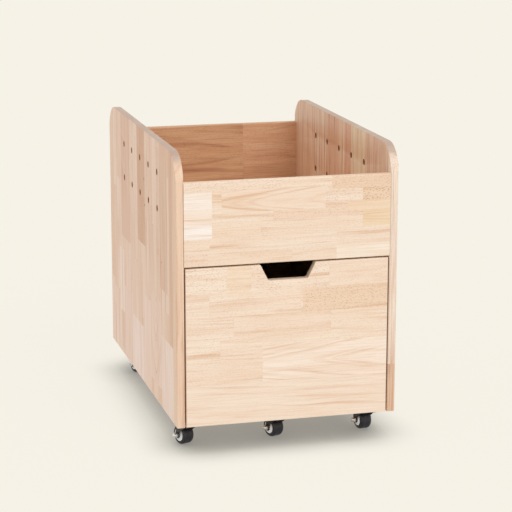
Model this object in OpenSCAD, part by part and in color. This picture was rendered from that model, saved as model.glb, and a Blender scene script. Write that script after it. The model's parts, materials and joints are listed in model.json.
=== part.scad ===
// Bookcase trolley for a child's room: an open book bin over one deep drawer, in clear-finished
// finger-jointed hardwood, on six small swivel castors. The drawer runs on telescopic ball slides.
// Millimetres. The front faces -Y, +Z is up, and the origin lies on the floor under the middle.

/* [Case] */
// Width over the two side panels
case_w = 420; // [380:5:520]
// Depth over the side panels
case_d = 640; // [540:5:700]
// Height of the side panels
side_h = 509; // [500:1:600]
// Thickness of the case boards
board_t = 15; // [13:0.5:18]
// Radius of the side panels' top corners
corner_r = 55; // [30:1:80]
// Rounding along the boards' edges
arris_r = 2.5; // [1:0.5:4]
// Height of the opening that the drawer closes
opening_h = 302; // [290:1:320]
// Height of the fixed front panel of the book bin
front_panel_h = 155; // [120:1:165]
// Height of the back panel
back_panel_h = 457; // [430:1:480]

/* [Side holes] */
// Radius of the holes in the side panels
hole_r = 6; // [4:0.5:9]
// Distance between neighbouring holes of a row
hole_pitch = 80; // [40:1:95]
// Distance between the two rows of holes
hole_row_gap = 69; // [40:1:75]
// Drop of the upper row below the side panel's top edge
hole_drop = 59; // [45:1:65]
// Number of holes in a row
hole_count = 5; // [3:2:5]

/* [Drawer] */
// Gap between the drawer front and each side panel
drawer_side_gap = 2.2; // [1:0.1:3]
// Gap between the drawer front and the panel above it
drawer_top_gap = 3; // [1:0.5:5]
// Height of the drawer box behind its front
box_h = 225; // [180:1:235]
// Thickness of the drawer's sides and back
box_t = 12; // [10:0.5:15]
// Thickness of the drawer's plywood bottom
base_t = 6; // [4:0.5:8]
// Height of the drawer box above the bottom board
box_lift = 10; // [6:1:15]
// Free space between the drawer box and the back panel
box_back_gap = 30; // [15:1:60]
// Depth of the grooves that hold the plywood bottom
groove_depth = 5; // [3:0.5:6]
// Height of the wood left under the groove
groove_lift = 10; // [8:1:20]

/* [Finger pull] */
// Width of the finger pull at the drawer's top edge
pull_top_w = 105; // [80:1:140]
// Width of the finger pull at its bottom
pull_bottom_w = 75; // [50:1:78]
// Depth of the finger pull
pull_depth = 30; // [20:1:40]
// Radius of the finger pull's lower corners
pull_corner_r = 5; // [2:0.5:8]

/* [Drawer slides] */
// Step between the stock lengths of slide rails; the longest that fits the drawer box is used
rail_step = 50; // [40:5:60]
// Height of the outer rail
rail_h = 45.6; // [40:0.2:50]
// Space that a slide fills between the drawer and the side panel
rail_w = 12.7; // [12.7:0.1:14]
// Steel thickness of the rails
rail_t = 1.2; // [1:0.1:1.4]
// Diameter of the slides' balls
rail_ball_d = 3; // [2.6:0.1:3.2]
// How much of its length a slide keeps back when the drawer is fully out
rail_keep = 10; // [10:5:60]
// Height of the slides' centre above the drawer box's lower edge
rail_lift = 60; // [40:1:120]

/* [Castors] */
// Height of a castor from the floor to its plate's top
castor_h = 56; // [50:0.5:60]
// Radius of the wheel over its tyre
wheel_r = 19; // [16:0.5:19.5]
// Width of the tyre
tyre_w = 24; // [18:0.5:25]
// Distance from the swivel axis back to the wheel's axle
trail = 15; // [12:0.5:17]
// Side of the square mounting plate
plate_w = 42; // [40:0.5:48]
// Spacing of the plate's screw holes
plate_hole_gap = 31; // [30:0.5:34]
// Distance from the outer side face to the swivel axis of a corner castor
castor_inset_x = 35; // [35:0.5:60]
// Distance from the case's front or back to the swivel axes
castor_inset_y = 65; // [40:0.5:65]

/* [Joints and fasteners] */
// Radius of the case dowels
dowel_r = 4; // [3:0.5:4.5]
// Length of the case dowels
dowel_len = 30; // [24:1:36]
// Radius of the drawer's dowels
small_dowel_r = 3; // [2:0.5:3.5]
// Length of the drawer's dowels
small_dowel_len = 24; // [20:1:28]
// Radius of the screws' shanks
screw_r = 1.75; // [1.2:0.05:2]
// Length of the screws' shanks in the wood
screw_len = 10; // [6:0.5:10]

/* [Hidden] */

$fn = 72;

// Colours of the finishes
wood_front = "#ecd2ac";
wood_side = "#dfbf9b";
wood_inside = "#cfa67c";
wood_dowel = "#d9bd8f";
plywood = "#d8bd92";
zinc = "#b9bdc2";
bright_steel = "#d5d8dc";
black_steel = "#1e1e20";
black_rubber = "#323036";
white_nylon = "#ecebe6";

// Clearances, and the overrun that carries a cut past a face
fit_gap = 0.05;
thread_gap = 0.15;
part_gap = 0.3;
groove_gap = 0.15;
cut = 1;

// Planes of the case
half_w = case_w / 2;
half_d = case_d / 2;
inner_half_w = half_w - board_t;
inner_half_d = half_d - board_t;
floor_z = castor_h;
opening_z = floor_z + opening_h;
side_top_z = floor_z + side_h;
bottom_board_front_gap = 2;

// Planes of the drawer
drawer_half_w = inner_half_w - drawer_side_gap;
drawer_front_h = opening_h - drawer_top_gap;
box_half_w = inner_half_w - rail_w;
box_inner_half_w = box_half_w - box_t;
box_z = floor_z + board_t + box_lift;
box_len = 2 * inner_half_d - box_back_gap;
box_back_y = -inner_half_d + box_len;
groove_z = box_z + groove_lift;
base_z = groove_z + groove_gap;
base_reach = groove_depth - part_gap;

// Slides: sections are drawn from the side panel (0) towards the drawer (rail_w)
rail_z = box_z + rail_lift;
rail_setback = 2;
rail_len = rail_step * floor((box_len - rail_setback) / rail_step);
drawer_travel = rail_len - rail_keep;
rail_front_y = -inner_half_d + rail_setback;
race_gap = rail_ball_d + 2 * part_gap;
outer_half_h = rail_h / 2;
middle_half_h = outer_half_h - rail_t - race_gap;
inner_half_h = middle_half_h - rail_t - race_gap;
cage_t = 0.6;
cage_gap = 0.15;
rail_lip_gap = 3;
outer_lip = rail_w - rail_lip_gap;
outer_cage_s = rail_t + cage_gap;
middle_web_s = outer_cage_s + cage_t + cage_gap;
inner_cage_s = middle_web_s + rail_t + cage_gap;
inner_tip_s = inner_cage_s + cage_t + cage_gap;
ball_row_s = rail_w / 2;
ball_hole_gap = 0.1;
cage_end_gap = 5;
cage_len = rail_len - drawer_travel / 2 - 2 * cage_end_gap;
cage_front_y = rail_front_y + drawer_travel / 4 + cage_end_gap;
cage_balls = 6;
rail_screw_shares = [0.08, 0.36, 0.64, 0.92];

// Castors: sections are drawn down from the plate's top (0)
plate_t = 2;
plate_corner_r = 5;
race_r = 16.2;
race_wall = 1.2;
race_floor_t = 2.4;
race_ball_r = 1.4;
race_ball_ring_r = 11.5;
race_ball_count = 10;
crown_t = 2;
crown_r = 20.5;
crown_top = plate_t + race_floor_t + 2 * (race_ball_r + part_gap);
kingpin_r = 3;
kingpin_head_r = 5.5;
kingpin_head_t = 2;
kingpin_top_gap = 0.2;
screw_play = 0.45;
plate_hole_r = screw_r + screw_play;
axle_r = 3;
axle_drop = castor_h - wheel_r;
hub_gap = 0.2;
hub_r = 5.5;
hub_stand = 1;
leg_t = 1.6;
leg_inner_x = tyre_w / 2 + hub_stand + hub_gap;
leg_outer_x = leg_inner_x + leg_t;
leg_front_y = -15;
leg_back_y = 13;
leg_end_r = 7;
leg_rise = 6;
leg_skirt = 2.5;
web_drop = 8;
core_r = 12.3;
core_dish_r = 10.6;
core_dish_depth = 1.4;
core_side_gap = 0.5;
tyre_shoulder_r = 5.5;
nut_r = 5.7;
nut_t = 5;
nut_dome_r = 4.7;
nut_dome_h = 5;
nut_tip_r = 2.2;
bolt_head_t = 3;
screw_head_r = 3.4;
screw_head_t = 1.8;

// Places of the castors' swivel axes, and how far each wheel happens to be turned, in degrees
castor_x = half_w - castor_inset_x;
castor_y = half_d - castor_inset_y;
FRONT_LEFT = [-castor_x, -castor_y, 22];
FRONT_MIDDLE = [0, -castor_y, 20];
FRONT_RIGHT = [castor_x, -castor_y, 9];
REAR_LEFT = [-castor_x, castor_y, 195];
REAR_MIDDLE = [0, castor_y, -12];
REAR_RIGHT = [castor_x, castor_y, 9];
CASTORS = [FRONT_LEFT, FRONT_MIDDLE, FRONT_RIGHT, REAR_LEFT, REAR_MIDDLE, REAR_RIGHT];

// Heights of the dowels: on the case boards along Y or Z as shares of the board's length
dowel_shares = [0.12, 0.5, 0.88];
back_dowel_shares = [0.08, 0.36, 0.64, 0.92];
box_dowel_shares = [0.2, 0.5, 0.8];
case_dowel_bite = dowel_len / 3;
small_dowel_bite = small_dowel_len / 3;
base_screw_shares = [-0.7, 0, 0.7];

// A flat rounded rectangle with its first corner at the origin
module rounded_rect(w, h, r) {
    translate([r, 0]) square([w - 2 * r, h]);
    translate([0, r]) square([w, h - 2 * r]);
    for (x = [r, w - r], y = [r, h - r]) translate([x, y]) circle(r);
}

// Draws a YZ outline along X, from x0 to x1
module along_x(x0, x1) {
    translate([x0, 0, 0]) rotate([90, 0, 90]) linear_extrude(x1 - x0) children();
}

// Draws an XZ outline along Y, from y0 to y1
module along_y(y0, y1) {
    translate([0, y1, 0]) rotate([90, 0, 0]) linear_extrude(y1 - y0) children();
}

// A board between the side panels with its long edges rounded
module cross_board(y0, z0, t, h) {
    along_x(-inner_half_w, inner_half_w) translate([y0, z0]) rounded_rect(t, h, arris_r);
}

// A round hole or pin along X, Y or Z, from its start point
module rod_x(p, r, len) {
    translate(p) rotate([0, 90, 0]) cylinder(h = len, r = r);
}
module rod_y(p, r, len) {
    translate(p) rotate([-90, 0, 0]) cylinder(h = len, r = r);
}
module rod_z(p, r, len) {
    translate(p) cylinder(h = len, r = r);
}

// Centres of the case dowels on the right: bin floor, bottom board, front panel, back panel
function lerp(a, b, s) = a + (b - a) * s;
function case_dowel_places() = concat(
    [for (s = dowel_shares) [lerp(-inner_half_d, inner_half_d, s), opening_z + board_t / 2]],
    [for (s = dowel_shares) [lerp(-inner_half_d, inner_half_d, s), floor_z + board_t / 2]],
    [for (s = dowel_shares) [-half_d + board_t / 2, opening_z + front_panel_h * s]],
    [for (s = back_dowel_shares) [half_d - board_t / 2, floor_z + back_panel_h * s]]
);

// The case dowels of both sides, or with a gap their holes
module case_dowel_set(gap) {
    for (p = case_dowel_places(), side = [0, 1])
        mirror([side, 0, 0])
            rod_x([inner_half_w + case_dowel_bite - dowel_len - gap, p[0], p[1]],
                dowel_r + gap, dowel_len + 2 * gap);
}

// Outline of a side panel, seen from the side
module side_outline() {
    translate([-half_d, floor_z]) square([case_d, side_h - corner_r]);
    translate([-half_d + corner_r, floor_z]) square([case_d - 2 * corner_r, side_h]);
    for (y = [-1, 1])
        translate([y * (half_d - corner_r), side_top_z - corner_r]) circle(corner_r, $fn = 120);
}

module side_panel() {
    difference() {
        intersection() {
            along_x(inner_half_w, half_w) side_outline();
            translate([inner_half_w, -half_d, floor_z])
                linear_extrude(side_h) rounded_rect(board_t, case_d, arris_r);
        }
        for (i = [0 : hole_count - 1], row = [0, 1])
            rod_x([inner_half_w - cut, (i - (hole_count - 1) / 2) * hole_pitch,
                side_top_z - hole_drop - row * hole_row_gap], hole_r, board_t + 2 * cut);
        case_dowel_set(fit_gap);
        case_rail_screw_set(fit_gap);
    }
}

module right_side() {
    color(wood_side) side_panel();
}

module left_side() {
    color(wood_side) mirror([1, 0, 0]) side_panel();
}

module front_panel() {
    color(wood_front) difference() {
        cross_board(-half_d, opening_z, board_t, front_panel_h);
        case_dowel_set(fit_gap);
    }
}

module back_panel() {
    color(wood_inside) difference() {
        cross_board(inner_half_d, floor_z, board_t, back_panel_h);
        case_dowel_set(fit_gap);
    }
}

module bin_floor() {
    color(wood_inside) difference() {
        translate([-inner_half_w, -inner_half_d, opening_z])
            cube([2 * inner_half_w, 2 * inner_half_d, board_t]);
        case_dowel_set(fit_gap);
    }
}

module bottom_board() {
    color(wood_inside) difference() {
        translate([-inner_half_w, -inner_half_d + bottom_board_front_gap, floor_z])
            cube([2 * inner_half_w, 2 * inner_half_d - bottom_board_front_gap, board_t]);
        case_dowel_set(fit_gap);
        castor_screw_set(fit_gap);
    }
}

module case_dowels() {
    color(wood_dowel) case_dowel_set(0);
}

// Rounded lower corner of the finger pull: points on an arc about its centre
pull_arc_steps = 6;
function pull_slope() = atan2(pull_depth, (pull_top_w - pull_bottom_w) / 2);
function pull_arc(side) = let(
    turn = 180 - pull_slope(),
    inset = pull_corner_r * tan((180 - turn) / 2),
    cx = pull_bottom_w / 2 - inset,
    cz = floor_z + drawer_front_h - pull_depth + pull_corner_r
) [for (a = [0 : pull_arc_steps]) let(b = a / pull_arc_steps * (180 - turn))
    [side * (cx + pull_corner_r * sin(b)), cz - pull_corner_r * cos(b)]];

// Outline of the finger pull, open past the drawer front's top edge
module pull_outline() {
    top = floor_z + drawer_front_h;
    over = cut * (pull_top_w - pull_bottom_w) / 2 / pull_depth;
    right = pull_arc(1);
    left = pull_arc(-1);
    polygon(concat(
        [for (i = [pull_arc_steps : -1 : 0]) left[i]],
        right,
        [[pull_top_w / 2 + over, top + cut], [-pull_top_w / 2 - over, top + cut]]
    ));
}

module drawer_front() {
    color(wood_front) difference() {
        intersection() {
            along_x(-drawer_half_w, drawer_half_w)
                translate([-half_d, floor_z]) rounded_rect(board_t, drawer_front_h, arris_r);
            translate([-drawer_half_w, -half_d, floor_z])
                linear_extrude(drawer_front_h)
                    rounded_rect(2 * drawer_half_w, board_t, arris_r);
        }
        along_y(-half_d - cut, -inner_half_d + cut) pull_outline();
        translate([-box_inner_half_w - groove_depth, -inner_half_d - groove_depth, groove_z])
            cube([2 * (box_inner_half_w + groove_depth), groove_depth + cut,
                base_t + 2 * groove_gap]);
        drawer_dowel_set(fit_gap);
    }
}

module drawer_side() {
    difference() {
        translate([box_inner_half_w, -inner_half_d, box_z]) cube([box_t, box_len, box_h]);
        translate([box_inner_half_w - cut, -inner_half_d - cut, groove_z])
            cube([groove_depth + cut, box_len + 2 * cut, base_t + 2 * groove_gap]);
        drawer_dowel_set(fit_gap);
        drawer_rail_screw_set(fit_gap);
    }
}

module drawer_right_side() {
    color(wood_inside) drawer_side();
}

module drawer_left_side() {
    color(wood_inside) mirror([1, 0, 0]) drawer_side();
}

// Lower edge of the drawer back, which stands on the plywood bottom
drawer_back_z = base_z + base_t;
drawer_back_h = box_z + box_h - drawer_back_z;

module drawer_back() {
    color(wood_inside) difference() {
        translate([-box_inner_half_w, box_back_y - box_t, drawer_back_z])
            cube([2 * box_inner_half_w, box_t, drawer_back_h]);
        drawer_dowel_set(fit_gap);
        drawer_bottom_screw_set(fit_gap);
    }
}

module drawer_bottom() {
    color(plywood) difference() {
        translate([-box_inner_half_w - base_reach, -inner_half_d - base_reach, base_z])
            cube([2 * (box_inner_half_w + base_reach), box_len + base_reach, base_t]);
        drawer_bottom_screw_set(fit_gap);
    }
}

// Dowels of the drawer box, or with a gap their holes: front to sides along Y, back to sides along X
module drawer_dowel_set(gap) {
    for (side = [0, 1], s = box_dowel_shares) mirror([side, 0, 0]) {
        rod_y([box_half_w - box_t / 2, -inner_half_d - small_dowel_bite - gap,
            drawer_back_z + drawer_back_h * s], small_dowel_r + gap, small_dowel_len + 2 * gap);
        rod_x([box_inner_half_w + small_dowel_bite - small_dowel_len - gap,
            box_back_y - box_t / 2, drawer_back_z + drawer_back_h * s],
            small_dowel_r + gap, small_dowel_len + 2 * gap);
    }
}

module drawer_dowels() {
    color(wood_dowel) drawer_dowel_set(0);
}

// Screws that hold the plywood bottom up against the drawer back, or with a gap their holes
module drawer_bottom_screw_set(gap) {
    for (s = base_screw_shares) {
        x = s * box_inner_half_w;
        y = box_back_y - box_t / 2;
        rod_z([x, y, base_z - gap], screw_r + gap, base_t + screw_len + 2 * gap);
        translate([x, y, base_z - gap])
            cylinder(h = screw_head_t, r1 = screw_head_r + gap, r2 = screw_r + gap);
    }
}

module drawer_bottom_screws() {
    color(zinc) drawer_bottom_screw_set(0);
}

// A channel rail on the right side: a web from s0 to s0 + t with two flanges to s1
module channel(s0, s1, web_s, half_h) {
    along_y(rail_front_y, rail_front_y + rail_len) {
        translate([inner_half_w - web_s - rail_t, rail_z - half_h]) square([rail_t, 2 * half_h]);
        for (z = [rail_z - half_h, rail_z + half_h - rail_t])
            translate([inner_half_w - s1, z]) square([s1 - s0, rail_t]);
    }
}

module outer_rail() {
    difference() {
        channel(0, outer_lip, 0, outer_half_h);
        case_rail_screw_set(fit_gap);
    }
}

module middle_rail() {
    channel(middle_web_s, outer_lip, middle_web_s, middle_half_h);
}

module inner_rail() {
    difference() {
        channel(inner_tip_s, rail_w, rail_w - rail_t, inner_half_h);
        drawer_rail_screw_set(fit_gap);
    }
}

// A strip cage with its two rows of balls, between two rails; half_h is the ball rows' height
module ball_cage(web_s, half_h) {
    tip_s = ball_row_s + rail_ball_d;
    pitch = cage_len / cage_balls;
    difference() {
        along_y(cage_front_y, cage_front_y + cage_len) {
            translate([inner_half_w - web_s - cage_t, rail_z - half_h - cage_t / 2])
                square([cage_t, 2 * half_h + cage_t]);
            for (side = [-1, 1])
                translate([inner_half_w - tip_s, rail_z + side * half_h - cage_t / 2])
                    square([tip_s - web_s, cage_t]);
        }
        for (i = [0 : cage_balls - 1], side = [-1, 1])
            rod_z([inner_half_w - ball_row_s, cage_front_y + (i + 0.5) * pitch,
                rail_z + side * half_h - rail_ball_d / 2],
                rail_ball_d / 2 + ball_hole_gap, rail_ball_d);
    }
    for (i = [0 : cage_balls - 1], side = [-1, 1])
        translate([inner_half_w - ball_row_s, cage_front_y + (i + 0.5) * pitch,
            rail_z + side * half_h])
            sphere(d = rail_ball_d, $fn = 32);
}

module outer_ball_cage() {
    ball_cage(outer_cage_s, outer_half_h - rail_t - race_gap / 2);
}

module inner_ball_cage() {
    ball_cage(inner_cage_s, middle_half_h - rail_t - race_gap / 2);
}

module right_outer_rail() {
    color(zinc) outer_rail();
}

module left_outer_rail() {
    color(zinc) mirror([1, 0, 0]) outer_rail();
}

module right_middle_rail() {
    color(zinc) middle_rail();
}

module left_middle_rail() {
    color(zinc) mirror([1, 0, 0]) middle_rail();
}

module right_inner_rail() {
    color(zinc) inner_rail();
}

module left_inner_rail() {
    color(zinc) mirror([1, 0, 0]) inner_rail();
}

module right_outer_ball_cage() {
    color(bright_steel) outer_ball_cage();
}

module left_outer_ball_cage() {
    color(bright_steel) mirror([1, 0, 0]) outer_ball_cage();
}

module right_inner_ball_cage() {
    color(bright_steel) inner_ball_cage();
}

module left_inner_ball_cage() {
    color(bright_steel) mirror([1, 0, 0]) inner_ball_cage();
}

// A flush countersunk screw along +X whose head fills the rail's steel, or with a gap its hole
module rail_screw(gap) {
    rotate([0, 90, 0]) {
        cylinder(h = rail_t, r1 = screw_head_r + gap, r2 = screw_r + gap);
        cylinder(h = rail_t + screw_len + gap, r = screw_r + gap);
    }
}

// Screws of the outer rails into the side panels, on the right side, or with a gap their holes
module case_rail_screw_set(gap) {
    for (s = rail_screw_shares)
        translate([inner_half_w - rail_t, rail_front_y + rail_len * s, rail_z]) rail_screw(gap);
}

// Screws of the inner rails into the drawer sides, on the right side, or with a gap their holes
module drawer_rail_screw_set(gap) {
    for (s = rail_screw_shares)
        translate([inner_half_w - rail_w + rail_t, rail_front_y + rail_len * s, rail_z])
            mirror([1, 0, 0]) rail_screw(gap);
}

module case_rail_screws() {
    color(zinc) for (side = [0, 1]) mirror([side, 0, 0]) case_rail_screw_set(0);
}

module drawer_rail_screws() {
    color(zinc) for (side = [0, 1]) mirror([side, 0, 0]) drawer_rail_screw_set(0);
}

// Moves to a castor's swivel axis at its plate's top
module at_castor(place) {
    translate([place[0], place[1], floor_z]) children();
}

// Moves to a castor's swivel axis and turns the way its wheel trails
module at_fork(place) {
    at_castor(place) rotate([0, 0, place[2]]) children();
}

// Plate screws of every castor, or with a gap their holes in the bottom board
module castor_screw_set(gap) {
    for (place = CASTORS, x = [-1, 1], y = [-1, 1])
        at_castor(place)
            rod_z([x * plate_hole_gap / 2, y * plate_hole_gap / 2, -plate_t],
                screw_r + gap, plate_t + screw_len + gap);
}

module castor_screws() {
    color(zinc) {
        castor_screw_set(0);
        for (place = CASTORS, x = [-1, 1], y = [-1, 1])
            at_castor(place)
                rod_z([x * plate_hole_gap / 2, y * plate_hole_gap / 2, -plate_t - screw_head_t],
                    screw_head_r, screw_head_t);
    }
}

// Square plate with the cup of the swivel's ball race pressed out of it
module castor_plate(place) {
    color(black_steel) at_castor(place) difference() {
        union() {
            translate([-plate_w / 2, -plate_w / 2, -plate_t])
                linear_extrude(plate_t) rounded_rect(plate_w, plate_w, plate_corner_r);
            rod_z([0, 0, -crown_top + part_gap], race_r, crown_top - part_gap);
        }
        rod_z([0, 0, -crown_top - cut], race_r - race_wall,
            cut + crown_top - plate_t - race_floor_t);
        rod_z([0, 0, -crown_top - cut], kingpin_r + fit_gap, crown_top + 2 * cut);
        for (x = [-1, 1], y = [-1, 1])
            rod_z([x * plate_hole_gap / 2, y * plate_hole_gap / 2, -plate_t - cut],
                plate_hole_r, plate_t + 2 * cut);
    }
}

module castor_kingpins() {
    color(zinc) for (place = CASTORS) at_castor(place) {
        bottom = -crown_top - crown_t - kingpin_top_gap;
        rod_z([0, 0, bottom], kingpin_r, -bottom - kingpin_top_gap);
        rod_z([0, 0, bottom - kingpin_head_t], kingpin_head_r, kingpin_head_t);
    }
}

module castor_race_balls() {
    color(bright_steel) for (place = CASTORS, i = [0 : race_ball_count - 1])
        at_castor(place) rotate([0, 0, 360 / race_ball_count * i])
            translate([race_ball_ring_r, 0, -crown_top + part_gap + race_ball_r])
                sphere(r = race_ball_r, $fn = 32);
}

// Point where a line from p touches the circle about c; side is 1 or -1
function touch_point(p, c, r, side) = let(
    v = c - p,
    d = norm(v),
    a = atan2(v[1], v[0]) + side * asin(r / d),
    len = sqrt(d * d - r * r)
) p + len * [cos(a), sin(a)];

// Side view of a fork leg: an upright blade with a round end about the axle, which spreads
// forward below the crown
module leg_outline() {
    top = -crown_top - crown_t / 2;
    back = [leg_back_y, top];
    axle = [trail, -axle_drop];
    blade_front = trail - leg_end_r;
    polygon([
        [leg_front_y, top],
        [leg_front_y, -crown_top - crown_t - leg_skirt],
        [blade_front, leg_rise - axle_drop],
        [blade_front, -axle_drop],
        axle,
        touch_point(back, axle, leg_end_r, 1),
        back,
    ]);
    translate(axle) circle(leg_end_r);
}

// Pressed fork: a crown disc, two legs and a web across the front
module castor_fork(place) {
    color(black_steel) at_fork(place) difference() {
        union() {
            rod_z([0, 0, -crown_top - crown_t], crown_r, crown_t);
            for (x = [-leg_outer_x, leg_inner_x]) along_x(x, x + leg_t) leg_outline();
            translate([-leg_outer_x, leg_front_y, -crown_top - crown_t - web_drop])
                cube([2 * leg_outer_x, leg_t, web_drop + crown_t / 2]);
        }
        rod_z([0, 0, -crown_top - crown_t - cut], kingpin_r + fit_gap, crown_t + 2 * cut);
        rod_x([-leg_outer_x - cut, trail, -axle_drop], axle_r + fit_gap,
            2 * leg_outer_x + 2 * cut);
    }
}

// Axle bolt with a hexagon head on the right and a domed cap nut on the left
module castor_axle(place) {
    nut_x = -leg_outer_x - fit_gap;
    color(bright_steel) at_fork(place) translate([0, trail, -axle_drop]) {
        rod_x([nut_x - nut_t, 0, 0], axle_r, nut_t - nut_x + leg_outer_x + fit_gap);
        translate([leg_outer_x + fit_gap, 0, 0]) rotate([0, 90, 0])
            cylinder(h = bolt_head_t, r = nut_r, $fn = 6);
        difference() {
            union() {
                translate([nut_x - nut_t, 0, 0]) rotate([0, 90, 0])
                    cylinder(h = nut_t, r = nut_r, $fn = 6);
                translate([nut_x - nut_t, 0, 0]) rotate([0, -90, 0])
                    cylinder(h = nut_dome_h, r1 = nut_dome_r, r2 = nut_tip_r);
            }
            rod_x([nut_x - nut_t - thread_gap, 0, 0], axle_r + thread_gap, nut_t + cut);
        }
    }
}

// Nylon wheel core with dished faces and a hub that keeps the wheel clear of the fork
module castor_core(place) {
    half = tyre_w / 2 - core_side_gap;
    color(white_nylon) at_fork(place) translate([0, trail, -axle_drop]) difference() {
        union() {
            rod_x([-half, 0, 0], core_r - fit_gap, 2 * half);
            rod_x([-tyre_w / 2 - hub_stand, 0, 0], hub_r, tyre_w + 2 * hub_stand);
        }
        rod_x([-tyre_w, 0, 0], axle_r + fit_gap, 2 * tyre_w);
        for (side = [0, 1]) mirror([side, 0, 0]) difference() {
            rod_x([half - core_dish_depth, 0, 0], core_dish_r, core_dish_depth + hub_stand + cut);
            rod_x([half - core_dish_depth - cut, 0, 0], hub_r, core_dish_depth + hub_stand + 2 * cut);
        }
    }
}

// Rubber tyre with round shoulders, which stands on the floor
module castor_tyre(place) {
    color(black_rubber) at_fork(place) translate([0, trail, -axle_drop]) rotate([0, 90, 0])
        rotate_extrude($fn = 96) intersection() {
            translate([-wheel_r, -tyre_w / 2])
                rounded_rect(2 * wheel_r, tyre_w, tyre_shoulder_r);
            translate([core_r, -tyre_w / 2]) square([wheel_r, tyre_w]);
        }
}

left_side();
right_side();
front_panel();
back_panel();
bin_floor();
bottom_board();
case_dowels();
drawer_front();
drawer_left_side();
drawer_right_side();
drawer_back();
drawer_bottom();
drawer_dowels();
drawer_bottom_screws();
left_outer_rail();
left_middle_rail();
left_inner_rail();
right_outer_rail();
right_middle_rail();
right_inner_rail();
left_outer_ball_cage();
left_inner_ball_cage();
right_outer_ball_cage();
right_inner_ball_cage();
case_rail_screws();
drawer_rail_screws();
castor_screws();
castor_kingpins();
castor_race_balls();
castor_plate(FRONT_LEFT);  // front_left_plate
castor_fork(FRONT_LEFT);  // front_left_fork
castor_axle(FRONT_LEFT);  // front_left_axle
castor_core(FRONT_LEFT);  // front_left_core
castor_tyre(FRONT_LEFT);  // front_left_tyre
castor_plate(FRONT_MIDDLE);  // front_middle_plate
castor_fork(FRONT_MIDDLE);  // front_middle_fork
castor_axle(FRONT_MIDDLE);  // front_middle_axle
castor_core(FRONT_MIDDLE);  // front_middle_core
castor_tyre(FRONT_MIDDLE);  // front_middle_tyre
castor_plate(FRONT_RIGHT);  // front_right_plate
castor_fork(FRONT_RIGHT);  // front_right_fork
castor_axle(FRONT_RIGHT);  // front_right_axle
castor_core(FRONT_RIGHT);  // front_right_core
castor_tyre(FRONT_RIGHT);  // front_right_tyre
castor_plate(REAR_LEFT);  // rear_left_plate
castor_fork(REAR_LEFT);  // rear_left_fork
castor_axle(REAR_LEFT);  // rear_left_axle
castor_core(REAR_LEFT);  // rear_left_core
castor_tyre(REAR_LEFT);  // rear_left_tyre
castor_plate(REAR_MIDDLE);  // rear_middle_plate
castor_fork(REAR_MIDDLE);  // rear_middle_fork
castor_axle(REAR_MIDDLE);  // rear_middle_axle
castor_core(REAR_MIDDLE);  // rear_middle_core
castor_tyre(REAR_MIDDLE);  // rear_middle_tyre
castor_plate(REAR_RIGHT);  // rear_right_plate
castor_fork(REAR_RIGHT);  // rear_right_fork
castor_axle(REAR_RIGHT);  // rear_right_axle
castor_core(REAR_RIGHT);  // rear_right_core
castor_tyre(REAR_RIGHT);  // rear_right_tyre
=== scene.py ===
"""Looks of a bookcase trolley: an open book bin over a deep drawer, on six swivel castors.

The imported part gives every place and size. This script softens the boards' arrises, dresses each
piece in the material it is made of, gives the castors and screws their full shapes, and sets up a
plain studio with the camera of the reference view.
"""

import json
import logging
import math
from dataclasses import dataclass, field
from enum import Enum
from typing import Any, Callable

import bmesh
import bpy
from mathutils import Matrix, Quaternion, Vector


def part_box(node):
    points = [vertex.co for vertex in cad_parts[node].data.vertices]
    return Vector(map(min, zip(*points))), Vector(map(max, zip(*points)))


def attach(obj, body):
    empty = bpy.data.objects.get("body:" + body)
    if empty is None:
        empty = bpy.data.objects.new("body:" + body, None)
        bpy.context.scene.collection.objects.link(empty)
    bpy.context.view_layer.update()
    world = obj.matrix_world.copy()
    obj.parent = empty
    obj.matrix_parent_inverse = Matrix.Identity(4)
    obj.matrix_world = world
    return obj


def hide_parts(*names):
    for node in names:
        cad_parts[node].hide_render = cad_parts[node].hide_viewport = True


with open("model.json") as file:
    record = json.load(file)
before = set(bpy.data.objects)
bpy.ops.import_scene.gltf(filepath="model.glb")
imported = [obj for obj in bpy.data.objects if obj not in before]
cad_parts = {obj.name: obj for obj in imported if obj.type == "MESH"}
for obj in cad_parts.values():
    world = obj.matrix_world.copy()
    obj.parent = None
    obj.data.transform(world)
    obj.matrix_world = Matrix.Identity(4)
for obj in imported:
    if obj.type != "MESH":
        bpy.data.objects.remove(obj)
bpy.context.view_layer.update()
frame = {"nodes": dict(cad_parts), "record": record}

log = logging.getLogger("trolley")

MM = 0.001
MERGE = 0.002 * MM
FLAT = math.radians(0.5)
SHARP = math.radians(32)

MATH = "ShaderNodeMath"
VECTOR = "ShaderNodeVectorMath"
RANGE = "ShaderNodeMapRange"
NOISE = "ShaderNodeTexNoise"
MIX = "ShaderNodeMix"
CHOICES = {MATH: "operation", VECTOR: "operation", RANGE: "interpolation_type", MIX: "data_type"}


class Axis(Enum):
    """The three axes of the frame."""

    X = 0
    Y = 1
    Z = 2


class Place(Enum):
    """Where the six castors stand."""

    FRONT_LEFT = "front_left"
    FRONT_MIDDLE = "front_middle"
    FRONT_RIGHT = "front_right"
    REAR_LEFT = "rear_left"
    REAR_MIDDLE = "rear_middle"
    REAR_RIGHT = "rear_right"


def linear(colour: str) -> tuple[float, float, float, float]:
    """Turns an sRGB hex colour into a linear one.

    Args:
        colour: the colour as #rrggbb.

    Returns:
        Linear red, green and blue, and an alpha of one.
    """
    parts = [int(colour[i : i + 2], 16) / 255 for i in (1, 3, 5)]
    line = [p / 12.92 if p <= 0.04045 else ((p + 0.055) / 1.055) ** 2.4 for p in parts]
    return (line[0], line[1], line[2], 1.0)


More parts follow.
